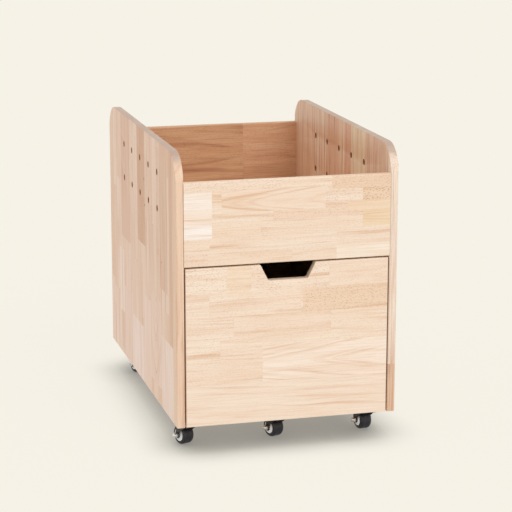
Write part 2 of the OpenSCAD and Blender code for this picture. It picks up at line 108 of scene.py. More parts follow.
def add(
    tree: bpy.types.NodeTree,
    kind: str,
    settings: dict[str, Any] | str | None = None,
    inputs: dict[Any, Any] | None = None,
    output: Any = 0,
) -> Any:
    """Adds one node with its settings, values and links.

    Args:
        tree: the node tree.
        kind: the node's type name.
        settings: attributes of the node, where "stops" fills a colour ramp, or only the value
            of the attribute that CHOICES names for the kind.
        inputs: sockets by name or number, each with a value or a socket to link from.
        output: the name or number of the socket to return, or None for the node.

    Returns:
        The output socket, or the node.
    """
    if isinstance(settings, str):
        settings = {CHOICES[kind]: settings}
    made = tree.nodes.new(kind)
    for name, value in (settings or {}).items():
        if name == "stops":
            ramp = made.color_ramp
            for place, _ in value[2:]:
                ramp.elements.new(place)
            for element, (place, colour) in zip(ramp.elements, value):
                element.position = place
                element.color = colour
        else:
            setattr(made, name, value)
    for key, value in (inputs or {}).items():
        socket = made.inputs[key]
        if isinstance(value, bpy.types.NodeSocket):
            tree.links.new(value, socket)
        else:
            socket.default_value = value
    return made if output is None else made.outputs[output]


def span(reach: tuple[float, float], start: float, end: float) -> dict[int, float]:
    """Gives a range node's limits: where it begins and ends, and its value at both."""
    return {1: reach[0], 2: reach[1], 3: start, 4: end}


def new_material(name: str) -> tuple[bpy.types.Material, bpy.types.NodeTree]:
    """Makes an empty node material.

    Args:
        name: the material's name.

    Returns:
        The material and its node tree.
    """
    material = bpy.data.materials.new(name)
    material.use_nodes = True
    material.node_tree.nodes.clear()
    return material, material.node_tree


def close_material(tree: bpy.types.NodeTree, shader: bpy.types.NodeSocket) -> None:
    """Links a shader to the material's output."""
    add(tree, "ShaderNodeOutputMaterial", inputs={"Surface": shader}, output=None)


@dataclass(frozen=True)
class KnownBlock:
    """One block of a board whose look is known from the photographed side.

    Attributes:
        along: where it starts and ends along the grain, in metres.
        across: its lower and upper edge across the staves, in metres.
        tone: its ground colour.
        strength: how much of the board's own ground it takes over.
        flecks: share of dark pore flecks in it.
        heart: where across the staves its nested arches have their axis, if it was sawn flat.
        tilt: how fast the heart rises along the grain; its sign turns the arches.
        draw: picks the block's own figure.
    """

    along: tuple[float, float]
    across: tuple[float, float]
    tone: str
    strength: float = 0.85
    flecks: float = 0.0
    heart: float | None = None
    tilt: float = 0.0
    draw: float = 0.37


@dataclass(frozen=True)
class PinKnot:
    """A small dark knot: its place along and across the grain and its radius, in metres."""

    along: float
    across: float
    radius: float = 2.2 * MM


@dataclass(frozen=True)
class Grain:
    """What the wood's layers share: a point's place in its board and in its own block."""

    along: Any
    across: Any
    depth: Any
    frame: Any
    within: Any
    shake: Any
    dice: tuple[Any, Any, Any]
    seam: Any
    known: tuple[tuple[KnownBlock, Any], ...]


@dataclass(frozen=True)
class JointedWood:
    """Rubberwood board of short staves, finger-jointed end to end and glued edge to edge.

    Each block was cut from another plank, so it has its own tone and its own figure: straight
    lines where it was sawn on the quarter, nested arches where it was sawn flat. The board is
    sanded and has a clear satin lacquer, which gives a soft sheen and leaves the pores visible.

    Attributes:
        name: the material's name.
        grain: the axis along the fibres.
        stack: the axis across the staves.
        middle: the middle of the board's thickness, in metres.
        tones: ground colours from which each block draws its own.
        blush: colour of the soft warm clouds.
        figure: colour of the growth rings and fibres.
        pore: colour of the pores and glue lines.
        end_grain_and_shade_tone: colour of the faces that cut across the fibres: their own darker
            end grain, and painted shade that greys the side panels' tops.
        stave: width of a stave.
        stack_start: a place across the staves where one begins.
        block: usual length of a block.
        seed: draws the board's blocks.
        figure_share: how strongly the growth rings show.
        streak_share: how strongly the long streaks show.
        blush_share: how strongly the clouds show.
        fleck_share: how strongly the pores show.
        blocks: the blocks whose look is known.
        knots: the board's pin knots.
        rough: roughness of the lacquer.
        ring_width: width of a growth ring.
        crisp: how strongly hard lines show in the rings.
        seam_share: how strongly the glue lines show.
        bored: where along and across the grain the board's holes are, if it has any.
        bore_shade_tone: colour of the holes' walls, darkened as painted shade inside the bores.
    """

    name: str
    grain: Axis
    stack: Axis
    middle: float
    tones: tuple[str, ...]
    blush: str
    figure: str
    pore: str
    end_grain_and_shade_tone: str
    stave: float = 29 * MM
    stack_start: float = 0.0
    block: float = 210 * MM
    seed: float = 1.0
    figure_share: float = 0.5
    streak_share: float = 0.3
    blush_share: float = 0.4
    fleck_share: float = 0.35
    blocks: tuple[KnownBlock, ...] = ()
    knots: tuple[PinKnot, ...] = ()
    rough: float = 0.5
    ring_width: float = 5 * MM
    crisp: float = 0.35
    seam_share: float = 0.22
    bored: tuple[tuple[float, float], tuple[float, float]] | None = None
    bore_shade_tone: str = "#a3714a"

    lacquer = {
        "IOR": 1.5,
        "Specular IOR Level": 0.3,
        "Coat Weight": 0.06,
        "Coat Roughness": 0.4,
    }
    sheen_reach = (0.2, 0.8)
    sheen_more = 0.05
    sheen_less = 0.07
    relief = 0.1 * MM
    relief_strength = 0.3
    fibre_relief = 0.35

    finger_pitch = 4.2 * MM
    finger_depth = 9 * MM
    row_shift = 19.0
    seed_shift = 7.31
    unevenness = 0.85
    draws = (1.0, 7.3, 3.7)
    seam_width = 0.4 * MM

    blush_length = 170 * MM
    blush_width = 20 * MM
    blush_reach = (0.38, 0.72)

    ring_length = 240 * MM
    ring_jump = 31.0
    ring_detail = 2.5
    ring_rough = 0.55
    soft_ring = (0.46, 0.80)
    soft_share = 0.75
    crisp_ring = (0.60, 0.72)
    pith_reach = 60 * MM
    lean = 0.1
    flat_depth = 7 * MM
    wander = 9 * MM
    wander_length = 150 * MM
    wander_width = 34 * MM

    streak_length = 110 * MM
    streak_width = 1.5 * MM
    streak_reach = (0.44, 0.76)
    fibre_length = 34 * MM
    fibre_width = 0.5 * MM
    fibre_reach = (0.45, 0.75)
    fibre_share = 0.55
    noise_jump = (71.0, 53.0, 37.0)
    noise_rough = 0.58

    # Real pores are 0.2 mm wide; they are drawn coarser so that they show
    pore_length = 6 * MM
    pore_width = 1.6 * MM
    pore_jump = (17.0, 29.0, 43.0)
    pore_edge = (0.16, 0.34)
    fleck_reach = (0.55, 1.0)
    fleck_least = 0.3

    knot_tone = "#4a2c18"
    knot_edge = (0.4, 1.6)
    knot_share = 0.9
    end_reach = (0.45, 0.95)
    end_share = 0.8
    wall_slant = 0.5

    def material(self) -> bpy.types.Material:
        """Builds the material.

        Returns:
            The finished material.
        """
        material, tree = new_material(self.name)
        grain = self._read_grain(tree)
        streaks = self._noise(tree, grain, self.streak_length, self.streak_width, 3)
        fibres = self._noise(tree, grain, self.fibre_length, self.fibre_width, 4)
        pores = self._pores(tree, grain)
        colour = self._ground(tree, grain)
        colour = self._figure(tree, grain, colour, streaks, fibres)
        colour = self._lay(tree, colour, self._flecks(tree, grain, pores), self.pore)
        colour = self._lay(tree, colour, grain.seam, self.pore)
        colour = self._knots(tree, grain, colour)
        colour = self._end_grain(tree, grain, colour)

        sunk = add(tree, MATH, "SUBTRACT", {0: 1.0, 1: pores})
        height = add(tree, MATH, "MULTIPLY_ADD", {0: fibres, 1: self.fibre_relief, 2: sunk})
        bump = add(
            tree,
            "ShaderNodeBump",
            inputs={"Strength": self.relief_strength, "Distance": self.relief, "Height": height},
        )
        sheen = span(self.sheen_reach, self.rough - self.sheen_more, self.rough + self.sheen_less)
        rough = add(tree, RANGE, inputs={"Value": streaks, **sheen})
        looks = {"Base Color": colour, "Roughness": rough, "Normal": bump, **self.lacquer}
        close_material(tree, add(tree, "ShaderNodeBsdfPrincipled", inputs=looks))
        return material

    def _through(self) -> int:
        """Gives the number of the axis through the board's thickness."""
        return ({0, 1, 2} - {self.grain.value, self.stack.value}).pop()

    def _read_grain(self, tree: Any) -> Grain:
        """Finds a point's stave and block, and draws the block's own random numbers.

        Args:
            tree: the node tree.

        Returns:
            The shared sockets.
        """
        place = add(tree, "ShaderNodeTexCoord", output="Object")
        split = add(tree, "ShaderNodeSeparateXYZ", inputs={0: place}, output=None)
        along = split.outputs[self.grain.value]
        across = split.outputs[self.stack.value]
        depth = add(tree, MATH, "SUBTRACT", {0: split.outputs[self._through()], 1: self.middle})
        start = self.seed - self.stack_start / self.stave
        stave = add(tree, MATH, "MULTIPLY_ADD", {0: across, 1: 1 / self.stave, 2: start})
        number = add(tree, MATH, "FLOOR", {0: stave})
        chance = add(tree, "ShaderNodeTexWhiteNoise", {"noise_dimensions": "1D"}, {"W": number})
        finger = add(tree, MATH, "PINGPONG", {0: depth, 1: self.finger_pitch / 2})
        slope = 2 * self.finger_depth / self.finger_pitch
        joint = add(tree, MATH, "MULTIPLY_ADD", {0: finger, 1: slope, 2: along})
        shift = self.seed * self.seed_shift
        run = add(tree, MATH, "MULTIPLY_ADD", {0: chance, 1: self.row_shift, 2: shift})
        row = add(tree, MATH, "MULTIPLY_ADD", {0: joint, 1: 1 / self.block, 2: run})
        cells = {"W": row, "Scale": 1.0, "Randomness": self.unevenness}
        line = {"voronoi_dimensions": "1D"}
        ends = {**line, "feature": "DISTANCE_TO_EDGE"}
        cell = add(tree, "ShaderNodeTexVoronoi", line, cells, output="Color")
        seam = self._seam(tree, stave, add(tree, "ShaderNodeTexVoronoi", ends, cells))
        share = add(tree, MATH, "FRACT", {0: stave})
        within = add(tree, MATH, "MULTIPLY_ADD", {0: share, 1: self.stave, 2: -self.stave / 2})
        known = []
        for block in self.blocks:
            inside = self._inside(tree, along, across, block)
            known.append((block, inside))
            own = (*(block.draw * step % 1 for step in self.draws), 1.0)
            cell = add(tree, MIX, "RGBA", {"Factor": inside, 6: cell, 7: own}, output=2)
            outside = add(tree, MATH, "SUBTRACT", {0: 1.0, 1: inside})
            seam = add(tree, MATH, "MULTIPLY", {0: seam, 1: outside})
        dice = add(tree, "ShaderNodeSeparateColor", inputs={0: cell}, output=None).outputs
        turned = add(tree, "ShaderNodeCombineXYZ", inputs={0: along, 1: across, 2: depth})
        rolls = (dice[0], dice[1], dice[2])
        return Grain(along, across, depth, turned, within, cell, rolls, seam, tuple(known))

    @staticmethod
    def _inside(tree: Any, along: Any, across: Any, block: KnownBlock) -> Any:
        """Gives one inside a known block and nothing outside it.

        Args:
            tree: the node tree.
            along: distance along the grain.
            across: distance across the staves.
            block: the known block.

        Returns:
            The mask's socket.
        """
        mask: Any = 1.0
        for value, (low, high) in ((along, block.along), (across, block.across)):
            limits = {0: value, 1: (low + high) / 2, 2: (high - low) / 2}
            near = add(tree, MATH, "COMPARE", limits)
            mask = add(tree, MATH, "MULTIPLY", {0: near, 1: mask})
        return mask

    @staticmethod
    def _lay(tree: Any, colour: Any, share: Any, tint: str) -> Any:
        """Lays a tint over a colour by a share.

        Args:
            tree: the node tree.
            colour: the colour below.
            share: how much of the tint shows.
            tint: the tint, as #rrggbb.

        Returns:
            The mixed colour's socket.
        """
        return add(tree, MIX, "RGBA", {"Factor": share, 6: colour, 7: linear(tint)}, output=2)

    def _ground(self, tree: Any, grain: Grain) -> Any:
        """Gives each block its ground colour, with soft warm clouds along the grain.

        Args:
            tree: the node tree.
            grain: the shared sockets.

        Returns:
            The ground colour's socket.
        """
        last = len(self.tones) - 1
        stops = [(i / last, linear(tone)) for i, tone in enumerate(self.tones)]
        ground = add(tree, "ShaderNodeValToRGB", {"stops": stops}, {"Fac": grain.dice[0]})
        for block, inside in grain.known:
            share = add(tree, MATH, "MULTIPLY", {0: inside, 1: block.strength})
            ground = self._lay(tree, ground, share, block.tone)
        cloud = self._noise(tree, grain, self.blush_length, self.blush_width, 2)
        reach = span(self.blush_reach, 0.0, self.blush_share)
        share = add(tree, RANGE, "SMOOTHSTEP", {"Value": cloud, **reach})
        return self._lay(tree, ground, share, self.blush)

    def _figure(self, tree: Any, grain: Grain, colour: Any, streaks: Any, fibres: Any) -> Any:
        """Draws the growth rings and the fibres over the ground.

        Args:
            tree: the node tree.
            grain: the shared sockets.
            colour: the ground colour.
            streaks: the long streaks' noise.
            fibres: the fine fibres' noise.

        Returns:
            The colour's socket.
        """
        rings = self._rings(tree, grain)
        layers = (
            (rings, self.soft_ring, self.soft_share * self.figure_share),
            (rings, self.crisp_ring, self.crisp * self.figure_share),
            (streaks, self.streak_reach, self.streak_share),
            (fibres, self.fibre_reach, self.fibre_share * self.streak_share),
        )
        share: Any = 0.0
        clamped = {"operation": "ADD", "use_clamp": True}
        for value, reach, most in layers:
            part = add(tree, RANGE, "SMOOTHSTEP", {"Value": value, **span(reach, 0.0, most)})
            share = add(tree, MATH, clamped, {0: part, 1: share})
        return self._lay(tree, colour, share, self.figure)

    def _rings(self, tree: Any, grain: Grain) -> Any:
        """Cuts each block out of a log of its own and reads the log's growth rings there.

        Args:
            tree: the node tree.
            grain: the shared sockets.

        Returns:
            The latewood's noise.
        """
        tone, side, depth = grain.dice
        side = add(tree, MATH, "SUBTRACT", {0: side, 1: 0.5})
        out = add(tree, MATH, "MULTIPLY_ADD", {0: side, 1: 2 * self.pith_reach, 2: grain.within})
        down = add(tree, MATH, "MULTIPLY_ADD", {0: depth, 1: self.pith_reach / 2, 2: grain.depth})
        lean = add(tree, MATH, "SUBTRACT", {0: tone, 1: 0.5})
        tilt = add(tree, MATH, "MULTIPLY", {0: lean, 1: self.lean})
        for block, inside in grain.known:
            if block.heart is None:
                continue
            away = add(tree, MATH, "SUBTRACT", {0: grain.across, 1: block.heart})
            swaps = ((out, away), (down, self.flat_depth), (tilt, block.tilt))
            out, down, tilt = (
                add(tree, MIX, "FLOAT", {"Factor": inside, 2: a, 3: b}) for a, b in swaps
            )
        flat = add(tree, "ShaderNodeCombineXYZ", inputs={0: out, 1: down})
        radius = add(tree, VECTOR, "LENGTH", {0: flat}, output="Value")
        wave = self._noise(tree, grain, self.wander_length, self.wander_width, 2)
        bent = add(tree, MATH, "MULTIPLY_ADD", {0: wave, 1: self.wander, 2: radius})
        run = add(tree, MATH, "MULTIPLY_ADD", {0: grain.along, 1: tilt, 2: bent})
        place = add(tree, "ShaderNodeCombineXYZ", inputs={0: run, 1: grain.along, 2: depth})
        size = (1 / self.ring_width, 1 / self.ring_length, self.ring_jump)
        scaled = add(tree, VECTOR, "MULTIPLY", {0: place, 1: size})
        noise = {"Scale": 1.0, "Detail": self.ring_detail, "Roughness": self.ring_rough}
        return add(tree, NOISE, inputs={"Vector": scaled, **noise})

    @staticmethod
    def _stretched(
        tree: Any, grain: Grain, length: float, width: float, jump: tuple[float, float, float]
    ) -> Any:
        """Gives places stretched along the grain, moved elsewhere for each block.

        Args:
            tree: the node tree.
            grain: the shared sockets.
            length: size along the grain, in metres.
            width: size across the grain, in metres.
            jump: how far a block's draw moves it.

        Returns:
            The places' socket.
        """
        size = (1 / length, 1 / width, 1 / width)
        scaled = add(tree, VECTOR, "MULTIPLY", {0: grain.frame, 1: size})
        return add(tree, VECTOR, "MULTIPLY_ADD", {0: grain.shake, 1: jump, 2: scaled})

    def _noise(self, tree: Any, grain: Grain, length: float, width: float, detail: float) -> Any:
        """Draws noise stretched along the grain, with another draw in each block.

        Args:
            tree: the node tree.
            grain: the shared sockets.
            length: length of a streak, in metres.
            width: width of a streak, in metres.
            detail: octaves of the noise.

        Returns:
            The noise's socket.
        """
        place = self._stretched(tree, grain, length, width, self.noise_jump)
        noise = {"Scale": 1.0, "Detail": detail, "Roughness": self.noise_rough}
        return add(tree, NOISE, inputs={"Vector": place, **noise})

    def _pores(self, tree: Any, grain: Grain) -> Any:
        """Draws the open pores as short dashes along the grain.

        Args:
            tree: the node tree.
            grain: the shared sockets.

        Returns:
            The pores' mask.
        """
        place = self._stretched(tree, grain, self.pore_length, self.pore_width, self.pore_jump)
        cells = {"Vector": place, "Scale": 1.0, "Randomness": 1.0}
        dash = add(tree, "ShaderNodeTexVoronoi", inputs=cells)
        return add(tree, RANGE, "SMOOTHSTEP", {"Value": dash, **span(self.pore_edge, 1.0, 0.0)})

    def _flecks(self, tree: Any, grain: Grain, pores: Any) -> Any:
        """Says how dark the pores are: faint in most blocks and strong in a few.

        Args:
            tree: the node tree.
            grain: the shared sockets.
            pores: the pores' mask.

        Returns:
            The share of the pore colour.
        """
        reach = span(self.fleck_reach, self.fleck_least, 1.0)
        level = add(tree, RANGE, "SMOOTHSTEP", {"Value": grain.dice[1], **reach})
        level = add(tree, MATH, "MULTIPLY", {0: level, 1: self.fleck_share})
        for block, inside in grain.known:
            level = add(tree, MIX, "FLOAT", {"Factor": inside, 2: level, 3: block.flecks})
        return add(tree, MATH, "MULTIPLY", {0: pores, 1: level})

    def _seam(self, tree: Any, stave: Any, butt: Any) -> Any:
        """Draws the fine glue lines between staves and at the finger joints.

        Args:
            tree: the node tree.
            stave: stave number with its fraction.
            butt: distance to the block's end, in block lengths.

        Returns:
            The seams' share.
        """
        edge = add(tree, MATH, "PINGPONG", {0: stave, 1: 0.5})
        lines = []
        for value, size in ((edge, self.stave), (butt, self.block)):
            width = self.seam_width / size
            fade = span((width / 3, width), self.seam_share, 0.0)
            lines.append(add(tree, RANGE, "SMOOTHSTEP", {"Value": value, **fade}))
        return add(tree, MATH, "MAXIMUM", {0: lines[0], 1: lines[1]})

    def _knots(self, tree: Any, grain: Grain, colour: Any) -> Any:
        """Lays the board's pin knots over its colour.

        Args:
            tree: the node tree.
            grain: the shared sockets.
            colour: the wood's colour.

        Returns:
            The colour with its knots.
        """
        spot = add(tree, "ShaderNodeCombineXYZ", inputs={0: grain.along, 1: grain.across})
        for knot in self.knots:
            centre = (knot.along, knot.across, 0.0)
            away = add(tree, VECTOR, "DISTANCE", {0: spot, 1: centre}, output="Value")
            core, rim = (knot.radius * share for share in self.knot_edge)
            fade = span((core, rim), self.knot_share, 0.0)
            share = add(tree, RANGE, "SMOOTHSTEP", {"Value": away, **fade})
            colour = self._lay(tree, colour, share, self.knot_tone)
        return colour

    def _end_grain(self, tree: Any, grain: Grain, colour: Any) -> Any:
        """Tints the faces that cut across the fibres, where lacquer soaks in and painted shade
        greys the side panels' tops, and paints shade on the bores' walls.

        Args:
            tree: the node tree.
            grain: the shared sockets.
            colour: the wood's colour.

        Returns:
            The colour with its end grain.
        """
        facing = add(tree, "ShaderNodeTexCoord", output="Normal")
        parts = add(tree, "ShaderNodeSeparateXYZ", inputs={0: facing}, output=None).outputs
        end = add(tree, MATH, "ABSOLUTE", {0: parts[self.grain.value]})
        reach = span(self.end_reach, 0.0, self.end_share)
        share = add(tree, RANGE, "SMOOTHSTEP", {"Value": end, **reach})
        # Faces across the fibres take a greyer tone: partly their own darker end grain, partly
        # painted shade on the side panels' tops.
        colour = self._lay(tree, colour, share, self.end_grain_and_shade_tone)
        if self.bored is None:
            return colour
        # The bores' walls get a darker brown: painted shade inside the holes.
        face = add(tree, MATH, "ABSOLUTE", {0: parts[self._through()]})
        wall = add(tree, MATH, "LESS_THAN", {0: face, 1: self.wall_slant})
        area = KnownBlock(self.bored[0], self.bored[1], self.bore_shade_tone)
        inside = self._inside(tree, grain.along, grain.across, area)
        bore = add(tree, MATH, "MULTIPLY", {0: wall, 1: inside})
        return self._lay(tree, colour, bore, self.bore_shade_tone)


@dataclass(frozen=True)
class Finish:
    """A plain material: two close tones in soft patches, an uneven gloss and a fine relief.

    Attributes:
        name: the material's name.
        tone: its main colour.
        patch_tone: the colour of its patches.
        patch: size of the patches, in metres.
        gloss: its least and greatest roughness.
        detail: octaves of the patches.
        harshness: how much the finer octaves count.
        worn: where the patches begin and end in their noise, if they stand apart.
        worn_share: how much of the patch colour shows then.
        relief: size of the relief along X, Y and Z, in metres.
        relief_depth: its depth, in metres.
        relief_strength: how strongly it shows.
        lined: whether the gloss follows the relief instead of the patches.
        extras: further inputs of the shader.
    """

    name: str
    tone: str
    patch_tone: str
    patch: float
    gloss: tuple[float, float]
    detail: float = 3.0
    harshness: float = 0.5
    worn: tuple[float, float] | None = None
    worn_share: float = 1.0
    relief: tuple[float, float, float] | None = None
    relief_depth: float = 0.0
    relief_strength: float = 0.0
    lined: bool = False
    extras: tuple[tuple[str, Any], ...] = ()

    def material(self) -> bpy.types.Material:
        """Builds the material.

        Returns:
            The finished material.
        """
        material, tree = new_material(self.name)
        place = add(tree, "ShaderNodeTexCoord", output="Object")
        noise = {"Scale": 1 / self.patch, "Detail": self.detail, "Roughness": self.harshness}
        patches = add(tree, NOISE, inputs={"Vector": place, **noise})
        share = patches
        if self.worn:
            fade = span(self.worn, 0.0, self.worn_share)
            share = add(tree, RANGE, "SMOOTHSTEP", {"Value": patches, **fade})
        tones = {6: linear(self.tone), 7: linear(self.patch_tone)}
        looks = dict(self.extras)
        looks["Base Color"] = add(tree, MIX, "RGBA", {"Factor": share, **tones}, output=2)
        uneven = patches
        if self.relief:
            size = tuple(1 / side for side in self.relief)
            scaled = add(tree, VECTOR, "MULTIPLY", {0: place, 1: size})
            relief = add(tree, NOISE, inputs={"Vector": scaled, "Scale": 1.0, "Detail": 2.0})
            bump = {"Strength": self.relief_strength, "Distance": self.relief_depth}
            looks["Normal"] = add(tree, "ShaderNodeBump", inputs={**bump, "Height": relief})
            uneven = relief if self.lined else patches
        gloss = span((0.0, 1.0), *self.gloss)
        looks["Roughness"] = add(tree, RANGE, inputs={"Value": uneven, **gloss})
        close_material(tree, add(tree, "ShaderNodeBsdfPrincipled", inputs=looks))
        return material


@dataclass(frozen=True)
class ZincSteel(Finish):
    """Rolled steel with bright zinc plating: pale grey, softly mottled, with fine rolling lines."""

    name: str = "zinc_plated_steel"
    tone: str = "#b4b8bd"
    patch_tone: str = "#93979c"
    patch: float = 9 * MM
    gloss: tuple[float, float] = (0.24, 0.42)
    relief: tuple[float, float, float] = (0.5 * MM, 40 * MM, 0.5 * MM)
    relief_depth: float = 0.02 * MM
    relief_strength: float = 0.2
    lined: bool = True
    extras: tuple[tuple[str, Any], ...] = (("Metallic", 1.0),)


@dataclass(frozen=True)
class BrightSteel(Finish):
    """Nickel-plated steel: a clear bright reflection with faint handling haze."""

    name: str = "nickel_plated_steel"
    tone: str = "#dfe1e4"
    patch_tone: str = "#dfe1e4"
    patch: float = 3 * MM
    detail: float = 2.0
    gloss: tuple[float, float] = (0.16, 0.32)
    extras: tuple[tuple[str, Any], ...] = (("Metallic", 1.0),)


@dataclass(frozen=True)
class BlackSteel(Finish):
    """Pressed steel with a black electro-coat: smooth, half glossy, rubbed paler in places."""

    name: str = "black_coated_steel"
    tone: str = "#0c0c0e"
    patch_tone: str = "#1d1d20"
    patch: float = 6 * MM
    gloss: tuple[float, float] = (0.26, 0.4)
    worn: tuple[float, float] = (0.55, 0.8)
    worn_share: float = 0.6
    relief: tuple[float, float, float] = (0.8 * MM, 0.8 * MM, 0.8 * MM)
    relief_depth: float = 0.03 * MM
    relief_strength: float = 0.12
    extras: tuple[tuple[str, Any], ...] = (("Coat Weight", 0.15), ("Coat Roughness", 0.2))


@dataclass(frozen=True)
class MouldedRubber(Finish):
    """Black moulded rubber with a cool grey bloom: a dull sheen, a little dusty where it rolls."""

    name: str = "moulded_rubber"
    tone: str = "#1c1b24"
    patch_tone: str = "#363440"
    patch: float = 2.5 * MM
    detail: float = 5.0
    harshness: float = 0.65
    gloss: tuple[float, float] = (0.34, 0.52)
    worn: tuple[float, float] = (0.4, 0.75)
    worn_share: float = 0.55
    relief: tuple[float, float, float] = (0.4 * MM, 0.4 * MM, 0.4 * MM)
    relief_depth: float = 0.04 * MM
    relief_strength: float = 0.25


@dataclass(frozen=True)
class MouldedNylon(Finish):
    """White moulded nylon: slightly waxy, with light passing just under its skin."""

    name: str = "moulded_nylon"
    tone: str = "#fdfdfb"
    patch_tone: str = "#f4f3f0"
    patch: float = 5 * MM
    gloss: tuple[float, float] = (0.3, 0.42)
    extras: tuple[tuple[str, Any], ...] = (
        ("IOR", 1.53),
        ("Subsurface Weight", 0.08),
        ("Subsurface Radius", (0.5, 0.45, 0.4)),
        ("Subsurface Scale", 1.0 * MM),
    )


def link(name: str, data: Any) -> bpy.types.Object:
    """Makes an object at the origin and puts it into the scene.

    Args:
        name: the object's name.
        data: its mesh, lamp or camera.

    Returns:
        The object.
    """
    made = bpy.data.objects.new(name, data)
    bpy.context.scene.collection.objects.link(made)
    return made


def plain_mesh(work: bmesh.types.BMesh, name: str) -> bpy.types.Mesh:
    """Turns worked faces into a mesh.

    Args:
        work: the faces, which are freed.
        name: the mesh's name.

    Returns:
        The mesh.
    """
    mesh = bpy.data.meshes.new(name)
    work.to_mesh(mesh)
    work.free()
    return mesh


def finish_mesh(work: bmesh.types.BMesh, name: str) -> bpy.types.Mesh:
    """Turns worked faces into a smooth-shaded mesh with its real edges kept sharp.

    Args:
        work: the faces, which are freed.
        name: the mesh's name.

    Returns:
        The mesh.
    """
    for face in work.faces:
        face.smooth = True
    mesh = plain_mesh(work, name)
    mesh.set_sharp_from_angle(angle=SHARP)
    return mesh


def result_of(piece: bpy.types.Object) -> bpy.types.Mesh:
    """Gives the plain mesh that an object's modifiers make.

    Args:
        piece: the object with its modifiers.

    Returns:
        The mesh.
    """
    graph = bpy.context.evaluated_depsgraph_get()
    graph.update()
    return bpy.data.meshes.new_from_object(piece.evaluated_get(graph), depsgraph=graph)


def show(mesh: bpy.types.Mesh, name: str, material: bpy.types.Material) -> bpy.types.Object:
    """Puts a mesh into the scene with its material.

    Args:
        mesh: the mesh, in the row frame.
        name: the piece's name.
        material: its material.

    Returns:
        The object, at the origin.
    """
    mesh.materials.clear()
    mesh.materials.append(material)
    return link(name, mesh)


def set_for(piece: bpy.types.Object, node: str, body: str) -> None:
    """Sets a piece in a CAD node's stead.

    Args:
        piece: the new piece.
        node: the node that it stands for.
        body: the body that it rides on.
    """
    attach(piece, body)
    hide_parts(node)
    log.info("%s: %d faces", piece.name, len(piece.data.polygons))


def merged_copy(node: str) -> bmesh.types.BMesh:
    """Copies a node's loose triangles into joined, flat faces.

    Args:
        node: the node's name.

    Returns:
        The faces.
    """
    work = bmesh.new()
    work.from_mesh(frame["nodes"][node].data)
    bmesh.ops.remove_doubles(work, verts=work.verts, dist=MERGE)
    bmesh.ops.dissolve_limit(work, angle_limit=FLAT, verts=work.verts, edges=work.edges)
    return work


def soften(
    node: str,
    radius: float,
    steps: int = 3,
    chosen: Callable[[Vector], bool] = lambda middle: True,
) -> bpy.types.Mesh:
    """Rounds the sharp edges of a copy of a node, and keeps it inside the node's box.

    Args:
        node: the node's name.
        radius: width of the rounding.
        steps: facets across the rounding.
        chosen: says from an edge's middle whether it is rounded.

    Returns:
        The softened mesh.
    """
    work = merged_copy(node)
    edges = [
        e
        for e in work.edges
        if e.is_manifold
        and e.calc_face_angle() > SHARP
        and chosen((e.verts[0].co + e.verts[1].co) / 2)
    ]
    bmesh.ops.bevel(
        work,
        geom=edges,
        offset=radius,
        offset_type="OFFSET",
        segments=steps,
        profile=0.5,
        affect="EDGES",
        clamp_overlap=True,
    )
    low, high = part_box(node)
    for vert in work.verts:
        vert.co = [min(max(c, a), b) for c, a, b in zip(vert.co, low, high)]
    return finish_mesh(work, node)


def ring(
    work: bmesh.types.BMesh, x: float, steps: int, radius: Callable[[float], float]
) -> list[Any]:
    """Adds a ring of points about the X axis.

    Args:
        work: the faces that it belongs to.
        x: its place along the axis.
        steps: number of points.
        radius: gives the radius at a turn.

    Returns:
        The points.
    """
    out = []
    for i in range(steps):
        turn = 2 * math.pi * i / steps
        r = radius(turn)
        out.append(work.verts.new((x, r * math.cos(turn), r * math.sin(turn))))
    return out


def revolve(profile: list[tuple[float, float]], steps: int) -> bmesh.types.BMesh:
    """Turns a closed profile about the X axis.

    Args:
        profile: points of distance along the axis and radius, in metres, round the section.
        steps: facets round the axis.

    Returns:
        The faces.
    """
    work = bmesh.new()
    rings = []
    for x, r in profile:
        pole = r < MERGE
        rings.append(ring(work, x, 1 if pole else steps, lambda turn: 0.0 if pole else r))
    closed = len(rings[0]) > 1
    pairs = list(zip(rings, rings[1:])) + ([(rings[-1], rings[0])] if closed else [])
    for one, two in pairs:
        for i in range(steps):
            j = (i + 1) % steps
            corner = [one[i % len(one)], one[j % len(one)], two[j % len(two)], two[i % len(two)]]
            unique = list(dict.fromkeys(corner))
            if len(unique) > 2:
                work.faces.new(unique)
    bmesh.ops.recalc_face_normals(work, faces=work.faces)
    return work


def arc(
    centre: tuple[float, float], radius: float, start: float, end: float, steps: int
) -> list[tuple[float, float]]:
    """Gives points on an arc.

    Args:
        centre: the arc's centre.
        radius: its radius.
        start: first angle in degrees.
        end: last angle in degrees.
        steps: pieces of the arc.

    Returns:
        The points, ends included.
    """
    out = []
    for i in range(steps + 1):
        turn = math.radians(start + (end - start) * i / steps)
        out.append((centre[0] + radius * math.cos(turn), centre[1] + radius * math.sin(turn)))
    return out


